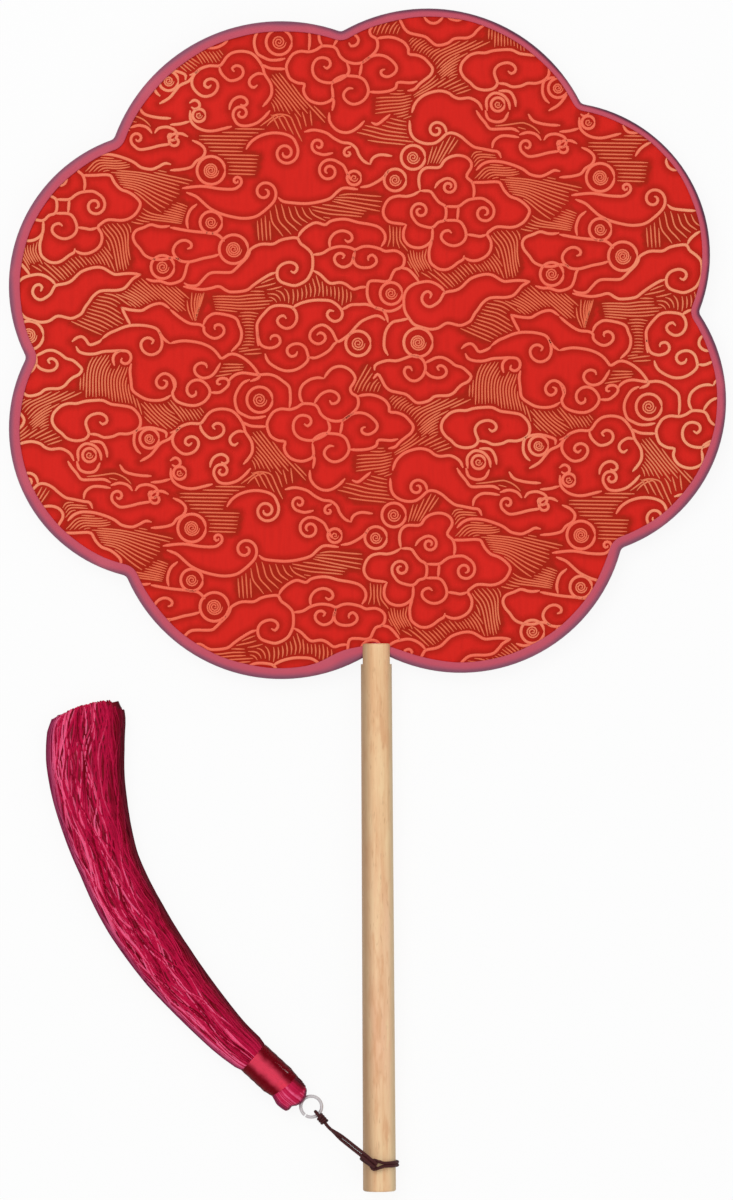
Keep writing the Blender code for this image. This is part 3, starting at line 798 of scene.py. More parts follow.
def drawn_steel():
    look = Look("drawn_steel", Metallic=1.0)
    marks = look.noise(look.place(), 900.0, 4.0, 0.6)
    shade = look.mix(marks, linear(150, 150, 152), linear(172, 172, 172))
    return look.finish(Base_Color=shade, Roughness=0.3 + marks * 0.2,
                       Normal=look.bump(marks, 0.01 * MM, 0.4))


def grey_board():
    look = Look("grey_board")
    pulp = look.noise(look.place(), 700.0, 5.0, 0.65)
    fibres = look.noise(look.stretched((0.2, 1.0, 1.0)), 1500.0, 3.0, 0.5)
    shade = look.mix(pulp, linear(162, 134, 104), linear(190, 166, 138))
    return look.finish(Base_Color=shade, Roughness=0.78 + pulp * 0.15,
                       Normal=look.bump(pulp * 0.6 + fibres * 0.4, 0.03 * MM, 0.6))


def polished_silver():
    look = Look("polished_silver", Metallic=0.5)
    scratches = look.noise(look.stretched((1.0, 1.0, 6.0)), 1600.0, 3.0, 0.6)
    tarnish = look.noise(look.place(), 320.0, 2.0).ramp(0.5, 0.8)
    shade = look.mix(tarnish * 0.5, linear(226, 220, 222), linear(190, 180, 184))
    return look.finish(Base_Color=shade, Roughness=0.2 + scratches * 0.12 + tarnish * 0.1,
                       Normal=look.bump(scratches, 0.006 * MM, 0.3))


class FAN_OT_rim(FanOperator, bpy.types.Operator):
    """Finish the rim wire, the board inside it and the split ring"""

    bl_idname = "fan.rim"
    bl_label = "Wire, board and ring"

    def make(self):
        finish_solid("rim_wire", drawn_steel())
        finish_solid("core_board", grey_board())
        finish_solid("split_ring", polished_silver())


# One repeat of the cloth, from its top left corner
CELL_CORNER = Vector((-68.95, 367.8)) * MM
CELL_ACROSS = Vector((132.25, -3.19)) * MM
CELL_DOWN = Vector((-7.3, -121.5)) * MM
PATTERN_UNIT = 0.068 * MM
BACK_SHIFT = (37 * MM, 52 * MM)
CROWD_CELL = 1.1 * MM
CLOUD_MARK = -1
CLOUD_GAP = 1.0 * MM
FIELD_GAP = 0.75 * MM
WAVE_STEP = 0.6 * MM
WAVE_PITCH = 0.95 * MM
WAVE_GROWTH = 9
WAVE_TURN = radians(4)
WAVE_ROWS = 6
ROW_REACH = 1.35 * MM
EYE_SHARE = 0.56
EYE_PITCH = 0.72 * MM
FLOWER_STEPS = 48
COIL_STEPS = 24
CURL_STEPS = 18
CURL_DRAW_IN = 0.78
SHORTEST_ROW = 5
CLOUD_STEP = 0.75 * MM
WAVE_LAID_STEP = 1.0 * MM
WAVE_HEIGHT_SHARE = 0.75
THREAD_SUNK = 0.06 * MM
WAVE_NEAR = 2.2 * MM
WARP_PITCH = 0.26 * MM
WEFT_PITCH = 0.38 * MM

# Lines of one repeat in units across and down; three numbers at an end are a curl there:
# turns, first radius, and 1 to the left or -1 to the right
CLOUD_LINES = [
    [(380, 195), (405, 158), (450, 128), (510, 113), (570, 118), (615, 140), (638, 185),
     (1.6, 66, -1)],
    [(80, 410), (130, 430), (170, 465), (200, 490), (250, 515), (310, 532), (370, 540),
     (430, 530), (480, 495), (515, 460), (528, 435), (1.3, 62, 1)],
    [(60, 390), (110, 383), (170, 380), (250, 392), (320, 393), (350, 375), (1.2, 28, 1)],
    [(540, 435), (565, 455), (620, 463), (680, 466), (740, 458), (800, 440), (835, 408),
     (870, 388), (940, 395)],
    [(670, 108), (720, 98), (780, 112), (820, 140), (860, 160), (900, 166), (930, 190),
     (945, 225), (970, 255), (1000, 270)],
    [(815, 212), (770, 222), (730, 212), (1.2, 40, -1)],
    [(905, 350), (885, 312), (865, 275), (825, 250), (1.5, 62, 1)],
    [(905, 180), (880, 190), (1.0, 25, 1)],
    [(795, 10), (798, 55), (825, 92), (862, 110), (900, 108), (940, 85), (972, 52)],
    [(1005, 60), (1035, 70), (1070, 45), (1100, 20)],
    [(0, 72), (50, 68), (98, 55)],
    [(100, 0), (104, 50), (130, 82), (170, 100), (215, 103), (265, 92), (310, 80)],
    [(500, 0), (470, 35), (430, 65), (380, 78), (340, 70), (318, 40), (1.3, 45, -1)],
    [(110, 150), (150, 168), (175, 198), (165, 232), (130, 255), (108, 282), (60, 295), (0, 300)],
    [(90, 132), (60, 117), (25, 116), (1.2, 38, 1)],
    [(90, 592), (84, 550), (100, 500), (135, 468)],
    [(640, 636), (655, 608), (690, 578), (730, 561), (775, 572), (800, 555), (840, 545),
     (885, 545), (940, 560), (1000, 570), (1045, 585), (1072, 615), (1074, 650), (1055, 682)],
    [(1197, 50), (1202, 110), (1225, 145), (1270, 165), (1318, 165), (1350, 147), (1385, 116),
     (1420, 115), (1455, 132), (1485, 158), (1520, 183), (1560, 192), (1610, 202), (1640, 208),
     (1655, 238)],
    [(1382, 118), (1378, 92), (1.3, 48, 1)],
    [(1530, 0), (1550, 32), (1575, 62), (1600, 92), (1650, 93), (1710, 92), (1745, 108)],
    [(1575, 0), (1590, 42), (1630, 58), (1670, 48), (1692, 8)],
    [(1790, 18), (1812, 50), (1850, 65), (1900, 73), (1950, 75)],
    [(1610, 190), (1618, 155), (1650, 130), (1690, 127), (1745, 135)],
    [(1745, 122), (1790, 110), (1832, 122), (1855, 150)],
    [(1950, 203), (1890, 212), (1840, 225), (1790, 230), (1757, 205), (1.1, 38, -1)],
    [(1868, 150), (1888, 125), (1930, 118), (1965, 130), (1.1, 35, -1)],
    [(1250, 400), (1243, 350), (1252, 310), (1282, 287), (1345, 285), (1368, 255), (1395, 235),
     (1435, 225), (1475, 232), (1502, 255), (1505, 285), (1482, 330), (1510, 360), (1520, 400),
     (1515, 440)],
    [(1322, 390), (1340, 362), (1370, 343), (1.5, 45, -1)],
    [(1250, 402), (1215, 422), (1180, 430), (1140, 428), (1100, 440), (1075, 470), (1065, 510),
     (1078, 542), (1105, 560), (1180, 570)],
    [(1250, 402), (1300, 405), (1322, 432), (1345, 460), (1375, 480), (1380, 520), (1370, 550),
     (1340, 560), (1312, 585), (1270, 580), (1235, 565), (1210, 532), (1.4, 50, -1)],
    [(1375, 480), (1440, 480), (1470, 460), (1500, 445), (1560, 440), (1600, 462), (1.4, 58, -1)],
    [(1442, 478), (1436, 548)],
    [(1370, 550), (1440, 552), (1468, 580), (1480, 620), (1472, 648), (1450, 668), (1420, 677),
     (1388, 670), (1362, 650), (1355, 628), (1366, 608), (1392, 600), (1408, 614)],
    [(1505, 360), (1560, 360), (1640, 358), (1660, 382), (1672, 402), (1700, 430), (1740, 445),
     (1775, 470), (1797, 500), (1785, 535), (1765, 560), (1735, 578), (1700, 585), (1635, 582),
     (1600, 602), (1585, 620), (1602, 650), (1605, 682), (1594, 712), (1570, 735), (1535, 750),
     (1500, 750), (1468, 735)],
    [(1000, 272), (1012, 240), (1050, 222), (1110, 228)],
    [(950, 385), (1000, 375), (1060, 340), (1095, 300)],
    [(1530, 300), (1560, 270), (1600, 255), (1660, 258), (1720, 275), (1765, 295), (1800, 320),
     (1850, 330), (1885, 318), (1920, 300), (1950, 305)],
    [(1480, 620), (1520, 625), (1550, 630), (1585, 620)],
    [(1182, 570), (1168, 600), (1168, 640), (1190, 672), (1225, 686), (1262, 684), (1295, 665),
     (1310, 640), (1312, 585)],
    [(1310, 650), (1296, 695), (1295, 730), (1302, 760), (1322, 780), (1350, 795), (1385, 795),
     (1415, 780), (1440, 760), (1465, 745), (1470, 725)],
    [(1945, 612), (1915, 617), (1885, 615), (1850, 606), (1815, 620), (1775, 636), (1760, 665),
     (1770, 697), (1795, 727), (1815, 755), (1840, 771), (1875, 780), (1915, 780), (1945, 772),
     (1978, 774), (2000, 788), (2045, 792), (2110, 775), (2160, 765), (2195, 753)],
    [(2000, 787), (1975, 770), (1960, 740), (1970, 710), (1995, 689), (2025, 685), (2050, 700),
     (2050, 720), (2030, 728)],
    [(1945, 620), (2045, 638), (2160, 650), (2195, 665), (2217, 690)],
    [(1825, 877), (1860, 888), (1895, 888), (1945, 902), (2000, 885), (2020, 850), (2030, 810),
     (2045, 792)],
    [(70, 862), (92, 876), (135, 875), (165, 845), (190, 820), (220, 810), (300, 810),
     (325, 795), (345, 775), (380, 740), (395, 715), (402, 695), (435, 675), (465, 668),
     (515, 668), (550, 650), (590, 640), (635, 638), (652, 665), (685, 690), (710, 722),
     (713, 780), (703, 815), (680, 850), (630, 875), (590, 870), (552, 855), (536, 830),
     (538, 795), (560, 770), (598, 759), (628, 770), (636, 792), (620, 812), (602, 802)],
    [(65, 880), (150, 895), (200, 890), (245, 880), (280, 900), (310, 908), (380, 900),
     (415, 875), (450, 850), (500, 820), (530, 810)],
    [(712, 722), (760, 715), (800, 692), (850, 680), (900, 686), (925, 696), (960, 682),
     (1000, 680), (1050, 692), (1075, 704), (1120, 701), (1150, 712), (1170, 735), (1168, 770),
     (1152, 788), (1125, 797), (1110, 822), (1098, 848), (1075, 856), (1035, 852), (995, 857),
     (985, 900), (990, 940), (1010, 975), (1042, 992), (1095, 1004), (1140, 990), (1162, 968)],
    [(800, 690), (797, 655), (808, 630), (830, 610), (865, 602), (900, 615), (911, 642),
     (890, 658), (872, 645)],
    [(925, 700), (917, 735), (903, 768), (868, 784), (836, 771), (821, 746), (830, 722),
     (853, 714), (872, 727), (860, 742)],
    [(925, 700), (916, 740), (926, 770), (955, 785), (1000, 784), (1029, 764), (1030, 740),
     (1010, 722), (990, 735), (992, 752)],
    [(714, 800), (750, 820), (780, 850), (805, 865), (850, 860), (880, 870), (915, 894),
     (950, 885), (987, 882)],
    [(1152, 788), (1190, 795), (1225, 830), (1245, 858)],
    [(1800, 855), (1750, 850), (1710, 852), (1670, 855), (1640, 840), (1615, 825), (1585, 819),
     (1545, 825), (1505, 840), (1480, 860), (1455, 885), (1425, 900), (1375, 910), (1360, 930),
     (1345, 955), (1305, 981), (1276, 974), (1260, 952), (1260, 930), (1272, 912), (1291, 905),
     (1306, 920), (1298, 940)],
    [(1375, 910), (1355, 885), (1325, 865), (1290, 855), (1250, 860), (1215, 871), (1185, 895),
     (1170, 928), (1169, 975), (1176, 1008), (1195, 1040), (1220, 1070), (1260, 1085),
     (1300, 1094), (1340, 1088), (1375, 1066), (1400, 1064), (1450, 1075), (1490, 1060),
     (1507, 1045), (1520, 1020), (1540, 993), (1560, 965), (1590, 941), (1625, 935),
     (1675, 935), (1715, 925), (1740, 900), (1762, 875), (1800, 855)],
    [(1195, 1040), (1150, 1050), (1110, 1060), (1080, 1100), (1070, 1150), (1072, 1190),
     (1090, 1225)],
    [(1015, 985), (1060, 995), (1080, 1025), (1090, 1060)],
    [(442, 1178), (436, 1110), (435, 1070), (450, 1040), (475, 1010), (502, 985), (540, 975),
     (597, 980), (618, 992), (632, 1018), (632, 1050), (612, 1080), (580, 1090), (550, 1076),
     (536, 1054), (545, 1034), (568, 1026), (582, 1042)],
    [(612, 990), (630, 975), (665, 960), (710, 950), (750, 948), (800, 952), (832, 970),
     (855, 995), (862, 1020), (850, 1045), (822, 1055), (797, 1042), (785, 1020), (798, 1000),
     (820, 1004)],
    [(855, 997), (880, 985), (905, 972), (950, 970), (985, 970), (1012, 982)],
    [(1075, 1050), (1050, 1030), (1020, 1028), (965, 1050), (935, 1075), (900, 1115),
     (875, 1136), (840, 1156), (825, 1135), (810, 1105), (785, 1081), (758, 1072), (725, 1085),
     (702, 1110), (700, 1140), (722, 1162), (750, 1166), (775, 1146), (772, 1122), (750, 1111),
     (733, 1124)],
    [(436, 1110), (442, 1145), (458, 1175), (495, 1188), (530, 1180), (550, 1160), (546, 1135),
     (527, 1124), (505, 1132), (503, 1148)],
    [(475, 1215), (482, 1240), (500, 1265), (540, 1290), (580, 1302), (625, 1297), (665, 1275),
     (690, 1245), (686, 1212), (675, 1185), (650, 1168), (618, 1168), (590, 1185), (586, 1210),
     (605, 1230), (630, 1222), (636, 1204)],
    [(690, 1234), (725, 1237), (765, 1220), (800, 1195), (820, 1168), (840, 1155)],
    [(1748, 1108), (1722, 1060), (1702, 1018)],
    [(1700, 1020), (1740, 1031), (1800, 1036), (1830, 1021), (1865, 1005), (1905, 1001),
     (1945, 1026)],
    [(0, 995), (55, 1040), (100, 1065), (145, 1070), (168, 1082), (170, 1105), (190, 1127),
     (222, 1140), (252, 1130), (270, 1108), (265, 1082), (243, 1070), (222, 1080), (226, 1097)],
    [(166, 1075), (178, 1045), (200, 1025), (225, 1015), (265, 1019), (310, 1030), (335, 1046),
     (346, 1075), (356, 1100), (357, 1130), (348, 1160), (330, 1182), (305, 1206)],
    [(0, 1165), (40, 1155), (80, 1152), (140, 1160), (185, 1175), (217, 1195), (240, 1220),
     (258, 1240), (295, 1220), (325, 1219), (360, 1234), (390, 1255), (415, 1280),
     (435, 1308), (445, 1335), (400, 1355)],
    [(252, 1262), (237, 1290), (220, 1315), (198, 1332), (165, 1338), (137, 1325), (122, 1300),
     (130, 1275), (155, 1262), (180, 1270), (185, 1288)],
    [(0, 1330), (15, 1350), (23, 1385), (12, 1415), (30, 1450), (75, 1470), (125, 1475),
     (165, 1460), (190, 1435), (200, 1408), (190, 1380), (165, 1355), (135, 1347), (105, 1357),
     (86, 1382), (88, 1412), (108, 1430), (130, 1418), (128, 1400)],
    [(200, 1410), (245, 1410), (270, 1395), (290, 1375), (294, 1355), (278, 1340), (253, 1340),
     (236, 1352), (240, 1370), (255, 1366)],
    [(294, 1358), (305, 1338), (330, 1320), (365, 1312), (400, 1316), (440, 1322), (490, 1319),
     (530, 1330), (565, 1354), (594, 1380), (601, 1415), (601, 1455), (597, 1487)],
    [(400, 1345), (365, 1362), (340, 1395), (326, 1430), (326, 1465), (340, 1503), (365, 1520),
     (400, 1535), (440, 1536), (480, 1528)],
    [(770, 1340), (740, 1336), (700, 1345), (665, 1370), (650, 1400), (650, 1435), (666, 1466)],
    [(770, 1340), (785, 1315), (810, 1290), (845, 1279), (880, 1286), (910, 1308), (926, 1338),
     (916, 1365), (901, 1390), (910, 1415), (935, 1430), (942, 1460), (935, 1487), (915, 1510),
     (885, 1535), (860, 1550), (820, 1553), (780, 1540), (752, 1515), (740, 1488), (720, 1470),
     (666, 1466), (635, 1484), (600, 1495), (555, 1492), (520, 1505), (500, 1530), (485, 1565),
     (490, 1600), (505, 1630), (540, 1650), (575, 1656), (570, 1685), (580, 1715), (605, 1740),
     (645, 1753), (680, 1750), (715, 1730), (716, 1695), (711, 1662)],
    [(720, 1468), (737, 1438), (762, 1414), (797, 1402), (830, 1412), (846, 1436), (834, 1460),
     (808, 1466), (797, 1448)],
    [(935, 1430), (960, 1424), (1000, 1421), (1040, 1430), (1075, 1450), (1095, 1480),
     (1097, 1506), (1135, 1511), (1170, 1525), (1196, 1550), (1216, 1580), (1206, 1610),
     (1180, 1632), (1150, 1656), (1125, 1682), (1090, 1690)],
    [(785, 1548), (797, 1575), (795, 1602), (770, 1625), (735, 1642), (700, 1650), (657, 1642),
     (628, 1620), (616, 1590), (620, 1555), (640, 1530), (670, 1524), (698, 1535), (705, 1560),
     (687, 1578), (670, 1566)],
    [(862, 1552), (856, 1590), (850, 1618)],
    [(712, 1662), (725, 1637), (765, 1616), (800, 1615), (845, 1620), (875, 1637), (890, 1665),
     (895, 1695), (882, 1725), (855, 1748), (820, 1757), (790, 1745), (771, 1720), (776, 1695),
     (798, 1677), (820, 1679)],
    [(716, 1720), (722, 1745), (714, 1790)],
    [(860, 1552), (885, 1533), (915, 1516), (950, 1511), (985, 1520), (1015, 1542),
     (1035, 1568), (1033, 1592), (1012, 1612), (985, 1620), (960, 1608), (960, 1588),
     (978, 1582)],
    [(895, 1695), (950, 1697), (1000, 1690), (1032, 1674), (1042, 1648), (1105, 1650),
     (1140, 1642)],
    [(0, 1612), (30, 1602), (55, 1580), (100, 1565), (150, 1565), (170, 1545), (186, 1522),
     (215, 1500), (260, 1492), (305, 1500), (332, 1520), (355, 1550), (368, 1575), (376, 1606),
     (396, 1636), (410, 1665), (411, 1705), (395, 1736), (366, 1770)],
    [(358, 1556), (400, 1576), (440, 1580), (484, 1580)],
    [(150, 1566), (155, 1592), (172, 1617), (200, 1638), (232, 1636), (260, 1620), (270, 1595),
     (258, 1570), (232, 1564), (213, 1580), (226, 1594)],
    [(55, 1582), (30, 1602), (14, 1632), (15, 1665), (35, 1695), (65, 1716), (98, 1716),
     (127, 1700), (143, 1670), (135, 1642), (108, 1630), (82, 1640), (76, 1662), (95, 1674),
     (110, 1660)],
    [(376, 1608), (345, 1603), (318, 1616), (300, 1638), (303, 1662), (322, 1674), (341, 1660)],
    [(200, 1785), (206, 1755), (225, 1730), (255, 1719), (282, 1730), (290, 1752), (273, 1766),
     (255, 1757)],
    [(0, 1752), (25, 1736), (48, 1748), (50, 1770), (28, 1782), (10, 1770)],
    [(1605, 1177), (1640, 1150), (1675, 1135), (1710, 1120), (1750, 1110), (1800, 1109),
     (1840, 1114), (1875, 1125), (1893, 1145), (1904, 1180), (1904, 1212), (1890, 1240),
     (1860, 1256), (1830, 1252), (1806, 1230), (1800, 1200), (1815, 1178), (1840, 1172),
     (1863, 1187), (1852, 1203)],
    [(1893, 1145), (1915, 1178), (1945, 1200)],
    [(1475, 1214), (1490, 1240), (1525, 1252), (1570, 1252), (1610, 1241), (1655, 1238),
     (1700, 1236), (1735, 1241), (1750, 1264), (1744, 1290), (1722, 1302), (1700, 1290),
     (1706, 1272)],
    [(1455, 1192), (1478, 1172), (1505, 1166), (1525, 1182), (1545, 1207), (1590, 1192),
     (1605, 1177)],
    [(1668, 1312), (1660, 1278), (1672, 1250), (1698, 1237)],
    [(1752, 1300), (1745, 1335), (1750, 1385), (1757, 1432), (1790, 1460), (1830, 1480),
     (1880, 1485), (1920, 1477), (1950, 1458)],
    [(1975, 1420), (1968, 1385), (1945, 1360), (1918, 1350), (1892, 1362), (1876, 1388),
     (1884, 1414), (1906, 1424), (1927, 1410), (1928, 1390), (1910, 1383)],
    [(1022, 1300), (1025, 1275), (1050, 1260), (1090, 1250), (1130, 1252), (1165, 1242),
     (1200, 1229), (1230, 1225), (1256, 1240), (1272, 1262), (1276, 1295), (1262, 1328),
     (1235, 1350), (1205, 1350), (1180, 1330), (1170, 1305), (1180, 1285), (1202, 1285),
     (1210, 1303)],
    [(1272, 1264), (1300, 1250), (1330, 1236), (1365, 1236), (1400, 1254), (1425, 1274),
     (1460, 1285), (1490, 1310), (1505, 1330), (1490, 1355), (1460, 1370), (1437, 1390),
     (1420, 1410), (1390, 1425), (1350, 1426), (1320, 1431), (1295, 1450), (1260, 1461),
     (1230, 1460), (1205, 1440), (1180, 1420), (1140, 1410), (1100, 1400), (1075, 1378),
     (1055, 1340), (1038, 1318), (1015, 1342)],
    [(1275, 1300), (1292, 1322), (1318, 1334), (1345, 1337), (1370, 1328), (1382, 1308),
     (1374, 1286), (1352, 1275), (1335, 1286), (1346, 1301)],
    [(1540, 1652), (1580, 1656), (1615, 1670), (1660, 1665), (1690, 1652), (1735, 1652),
     (1775, 1636), (1796, 1610), (1796, 1575), (1780, 1545), (1750, 1520), (1700, 1510),
     (1650, 1503), (1610, 1485), (1560, 1485), (1515, 1490), (1480, 1500), (1440, 1500),
     (1405, 1510), (1380, 1530), (1361, 1555), (1356, 1590), (1375, 1625), (1405, 1650),
     (1430, 1674), (1470, 1686), (1510, 1682), (1532, 1668), (1540, 1648), (1530, 1622),
     (1524, 1595), (1536, 1570), (1562, 1554), (1597, 1550), (1625, 1566), (1630, 1590),
     (1608, 1604), (1592, 1590)],
    [(1112, 1800), (1128, 1755), (1160, 1720), (1200, 1700), (1250, 1690), (1295, 1700),
     (1320, 1719), (1350, 1729), (1395, 1725), (1425, 1735), (1450, 1755), (1465, 1787)],
    [(1795, 1790), (1845, 1760), (1875, 1725), (1900, 1697), (1945, 1675), (1960, 1650)],
    [(1488, 1790), (1486, 1735), (1520, 1702), (1565, 1710), (1595, 1745), (1602, 1785)],
    [(1545, 1690), (1600, 1694), (1625, 1730), (1632, 1770)],
    [(1800, 1752), (1778, 1730), (1765, 1695), (1771, 1645), (1796, 1628), (1840, 1620),
     (1885, 1628), (1925, 1645), (1925, 1672)],
]
# Round flowers: middle, and radius of the outer ring
ROSETTES = [
    (145, 25, 32), (205, 300, 70), (205, 560, 55), (920, 338, 35), (1215, 235, 60), (1125, 348, 55),
    (318, 694, 72), (1908, 818, 58), (1105, 915, 55), (940, 1165, 62), (1240, 1160, 72),
    (448, 1446, 64), (1842, 1676, 48), (1542, 1758, 34),
]
# Fields of fine lines: first line, last line and how many there are
WAVE_FIELDS = [
    ([(225, 110), (390, 112)], [(210, 258), (360, 262)], 9),
    ([(505, 40), (535, 25), (568, 80)], [(700, 0), (706, 50), (712, 92)], 6),
    ([(500, 500), (512, 560), (545, 603)], [(690, 480), (715, 520), (770, 548)], 7),
    ([(735, 468), (820, 478), (905, 492)], [(700, 512), (780, 536), (870, 540)], 4),
    ([(845, 425), (900, 418), (980, 425)], [(820, 456), (900, 474), (990, 492)], 4),
    ([(335, 1208), (400, 1198), (470, 1190)], [(385, 1218), (430, 1216), (474, 1212)], 2),
    ([(435, 535), (440, 600)], [(495, 520), (500, 600)], 4),
    ([(1330, 190), (1300, 272)], [(1410, 190), (1352, 275)], 5),
    ([(1505, 235), (1530, 208), (1620, 212)], [(1540, 345), (1590, 300), (1660, 300)], 8),
    ([(1650, 345), (1800, 360), (1950, 400)], [(1690, 425), (1770, 445), (1840, 500)], 8),
    ([(285, 915), (340, 915), (400, 905), (470, 905)],
     [(300, 988), (350, 992), (420, 992), (485, 985)], 6),
    ([(440, 872), (490, 850), (530, 835)], [(430, 898), (500, 895), (560, 880)], 3),
    ([(470, 935), (505, 935), (528, 950), (535, 968)],
     [(520, 880), (570, 890), (592, 925), (592, 972)], 4),
    ([(612, 885), (618, 930), (612, 978)], [(735, 842), (748, 890), (740, 935)], 7),
    ([(760, 855), (765, 900), (765, 940)], [(900, 890), (905, 930), (900, 965)], 8),
    ([(350, 1012), (400, 1010), (450, 1018)], [(350, 1192), (390, 1187), (436, 1190)], 12),
    ([(1098, 590), (1100, 640), (1085, 690)], [(1150, 590), (1150, 650), (1178, 690)], 4),
    ([(1200, 700), (1212, 750), (1240, 800)], [(1280, 700), (1274, 740), (1300, 790)], 6),
    ([(1255, 810), (1305, 840), (1360, 890)], [(1322, 800), (1372, 845), (1420, 890)], 3),
    ([(1350, 805), (1395, 845), (1430, 885)], [(1490, 762), (1515, 790), (1535, 815)], 8),
    ([(1508, 755), (1535, 785), (1555, 808)], [(1605, 728), (1640, 775), (1666, 832)], 7),
    ([(1615, 640), (1655, 700), (1685, 840)], [(1650, 595), (1700, 660), (1715, 760)], 4),
    ([(1600, 948), (1670, 962), (1745, 1010)], [(1520, 1120), (1570, 1142), (1612, 1160)], 11),
    ([(1690, 942), (1760, 975), (1800, 1005)], [(1795, 870), (1860, 930), (1930, 990)], 8),
    ([(920, 1402), (932, 1372), (952, 1335)], [(1018, 1405), (1032, 1372), (1052, 1352)], 6),
    ([(1102, 1488), (1125, 1455), (1160, 1430)], [(1182, 1542), (1210, 1500), (1260, 1474)], 7),
    ([(1192, 1552), (1230, 1505), (1300, 1470)], [(1224, 1590), (1290, 1525), (1400, 1474)], 4),
    ([(1030, 1402), (1045, 1388), (1060, 1378)], [(1097, 1444), (1120, 1424), (1150, 1414)], 6),
    ([(1240, 1600), (1310, 1545), (1392, 1500)], [(1262, 1625), (1310, 1588), (1352, 1566)], 4),
    ([(1150, 1680), (1200, 1645), (1245, 1600)], [(1165, 1712), (1225, 1682), (1300, 1640)], 4),
    ([(1640, 1258), (1594, 1345), (1592, 1480)], [(1738, 1345), (1722, 1410), (1740, 1500)], 10),
    ([(0, 1470), (50, 1530), (75, 1572)], [(180, 1452), (202, 1480), (218, 1496)], 11),
    ([(1800, 1500), (1860, 1565), (1945, 1640)], [(1905, 1495), (1940, 1535), (2000, 1570)], 6),
    ([(430, 1680), (480, 1740), (516, 1792)], [(512, 1655), (562, 1722), (625, 1790)], 6),
    ([(1010, 1705), (1060, 1705), (1110, 1695)], [(1005, 1792), (1060, 1785), (1105, 1772)], 6),
    ([(85, 950), (92, 1000), (110, 1042)], [(132, 905), (122, 960), (126, 1012)], 3),
    ([(245, 1248), (300, 1252)], [(240, 1288), (292, 1286)], 3),
    ([(1100, 40), (1150, 52), (1190, 60)], [(1000, 125), (1060, 140), (1150, 150)], 6),
    ([(1795, 515), (1850, 550), (1950, 570)], [(1735, 588), (1800, 602), (1900, 608)], 5),
    ([(1700, 70), (1760, 62), (1790, 70)], [(1610, 100), (1690, 105), (1750, 115)], 3),
]


def curl_points(end, direction, turns, radius, way):
    """Spiral that carries on from a line's end, drawing in to a small eye."""
    normal = Vector((-direction.y, direction.x)) * way
    centre = end + normal * radius
    start = atan2(-normal.y, -normal.x)
    count = max(8, int(turns * CURL_STEPS))
    points = []
    for i in range(1, count + 1):
        share = i / count
        reach = radius * (1 - CURL_DRAW_IN * share ** 0.8)
        angle = start + way * 2 * pi * turns * share
        points.append(polar(centre, reach, angle))
    return points


def unit_point(key):
    """A point of the repeat, given in units across and down, in metres."""
    return (Vector((key[0], -key[1])) * PATTERN_UNIT) @ Matrix.Rotation(-VIEW_ROLL, 2)


def cloud_line(keys):
    """Smooth line through its points, with the curls at its ends."""
    points = smooth_route([unit_point(key) for key in keys if len(key) == 2], 6)
    for end in (keys[0], keys[-1]):
        points = points[::-1]
        if len(end) == 3:
            turns, radius, way = end
            away = (points[-1] - points[-2]).normalized()
            points += curl_points(points[-1], away, turns, radius * PATTERN_UNIT, way)
    return points


def rosette_lines(x, y, radius):
    """A flower: an outer ring, and a coil that fills its eye."""
    middle = unit_point((x, y))
    radius *= PATTERN_UNIT
    ring = [polar(middle, radius, 2 * pi * i / FLOWER_STEPS) for i in range(FLOWER_STEPS + 1)]
    steps = COIL_STEPS * max(1, round(EYE_SHARE * radius / EYE_PITCH))
    coil = [polar(middle, EYE_SHARE * radius * i / steps, 2 * pi * i / COIL_STEPS)
            for i in range(steps + 1)]
    return [(ring, 0.0), (coil, 0.4)]


def repeats(corner, reach):
    """Corners of the repeats round the one at `corner`, as far as `reach` each way."""
    steps = range(-reach, reach + 1)
    return [np.array(corner + i * CELL_ACROSS + j * CELL_DOWN) for i in steps for j in steps]


class Crowd:
    """Points of the repeat's lines and of its eight neighbours, to find what lies near a place."""

    def __init__(self):
        self.cells = {}

    def add(self, points, mark):
        for corner in repeats(Vector((0, 0)), 1):
            for x, y in points + corner:
                key = (int(x // CROWD_CELL), int(y // CROWD_CELL))
                self.cells.setdefault(key, []).append((x, y, mark))

    def free(self, x, y, mark):
        """Whether a place is clear of cloud lines and of the waves of other fields."""
        column, row = int(x // CROWD_CELL), int(y // CROWD_CELL)
        for i in (column - 1, column, column + 1):
            for j in (row - 1, row, row + 1):
                for a, b, other in self.cells.get((i, j), ()):
                    gap = CLOUD_GAP if other == CLOUD_MARK else FIELD_GAP
                    if other != mark and (a - x) ** 2 + (b - y) ** 2 < gap * gap:
                        return False
        return True


def free_run(points, crowd, mark):
    """Longest unbroken part of a line that is clear of other lines."""
    clear = [crowd.free(*point, mark) for point in points]
    start, end = max(runs(clear), key=lambda run: run[1] - run[0], default=(0, 0))
    return points[start:end]


def carried_on(points, crowd, mark):
    """A wave line carried on past its end, in its own curve, until it meets another line."""
    route = list(points)
    ahead = route[-1] - route[-2]
    before = route[-3] - route[-4]
    turn = atan2(before[0] * ahead[1] - before[1] * ahead[0], before @ ahead) / 2
    turn = max(-WAVE_TURN, min(WAVE_TURN, turn))
    spin = np.array([[cos(turn), -sin(turn)], [sin(turn), cos(turn)]])
    for _ in range(WAVE_GROWTH):
        ahead = spin @ ahead
        if not crowd.free(*(route[-1] + ahead), mark):
            break
        route.append(route[-1] + ahead)
    return np.array(route)


def grown(points, crowd, mark):
    """A wave line carried on past both its ends and turned round, now part of the crowd."""
    route = carried_on(carried_on(points, crowd, mark)[::-1], crowd, mark)
    crowd.add(route, mark)
    return route


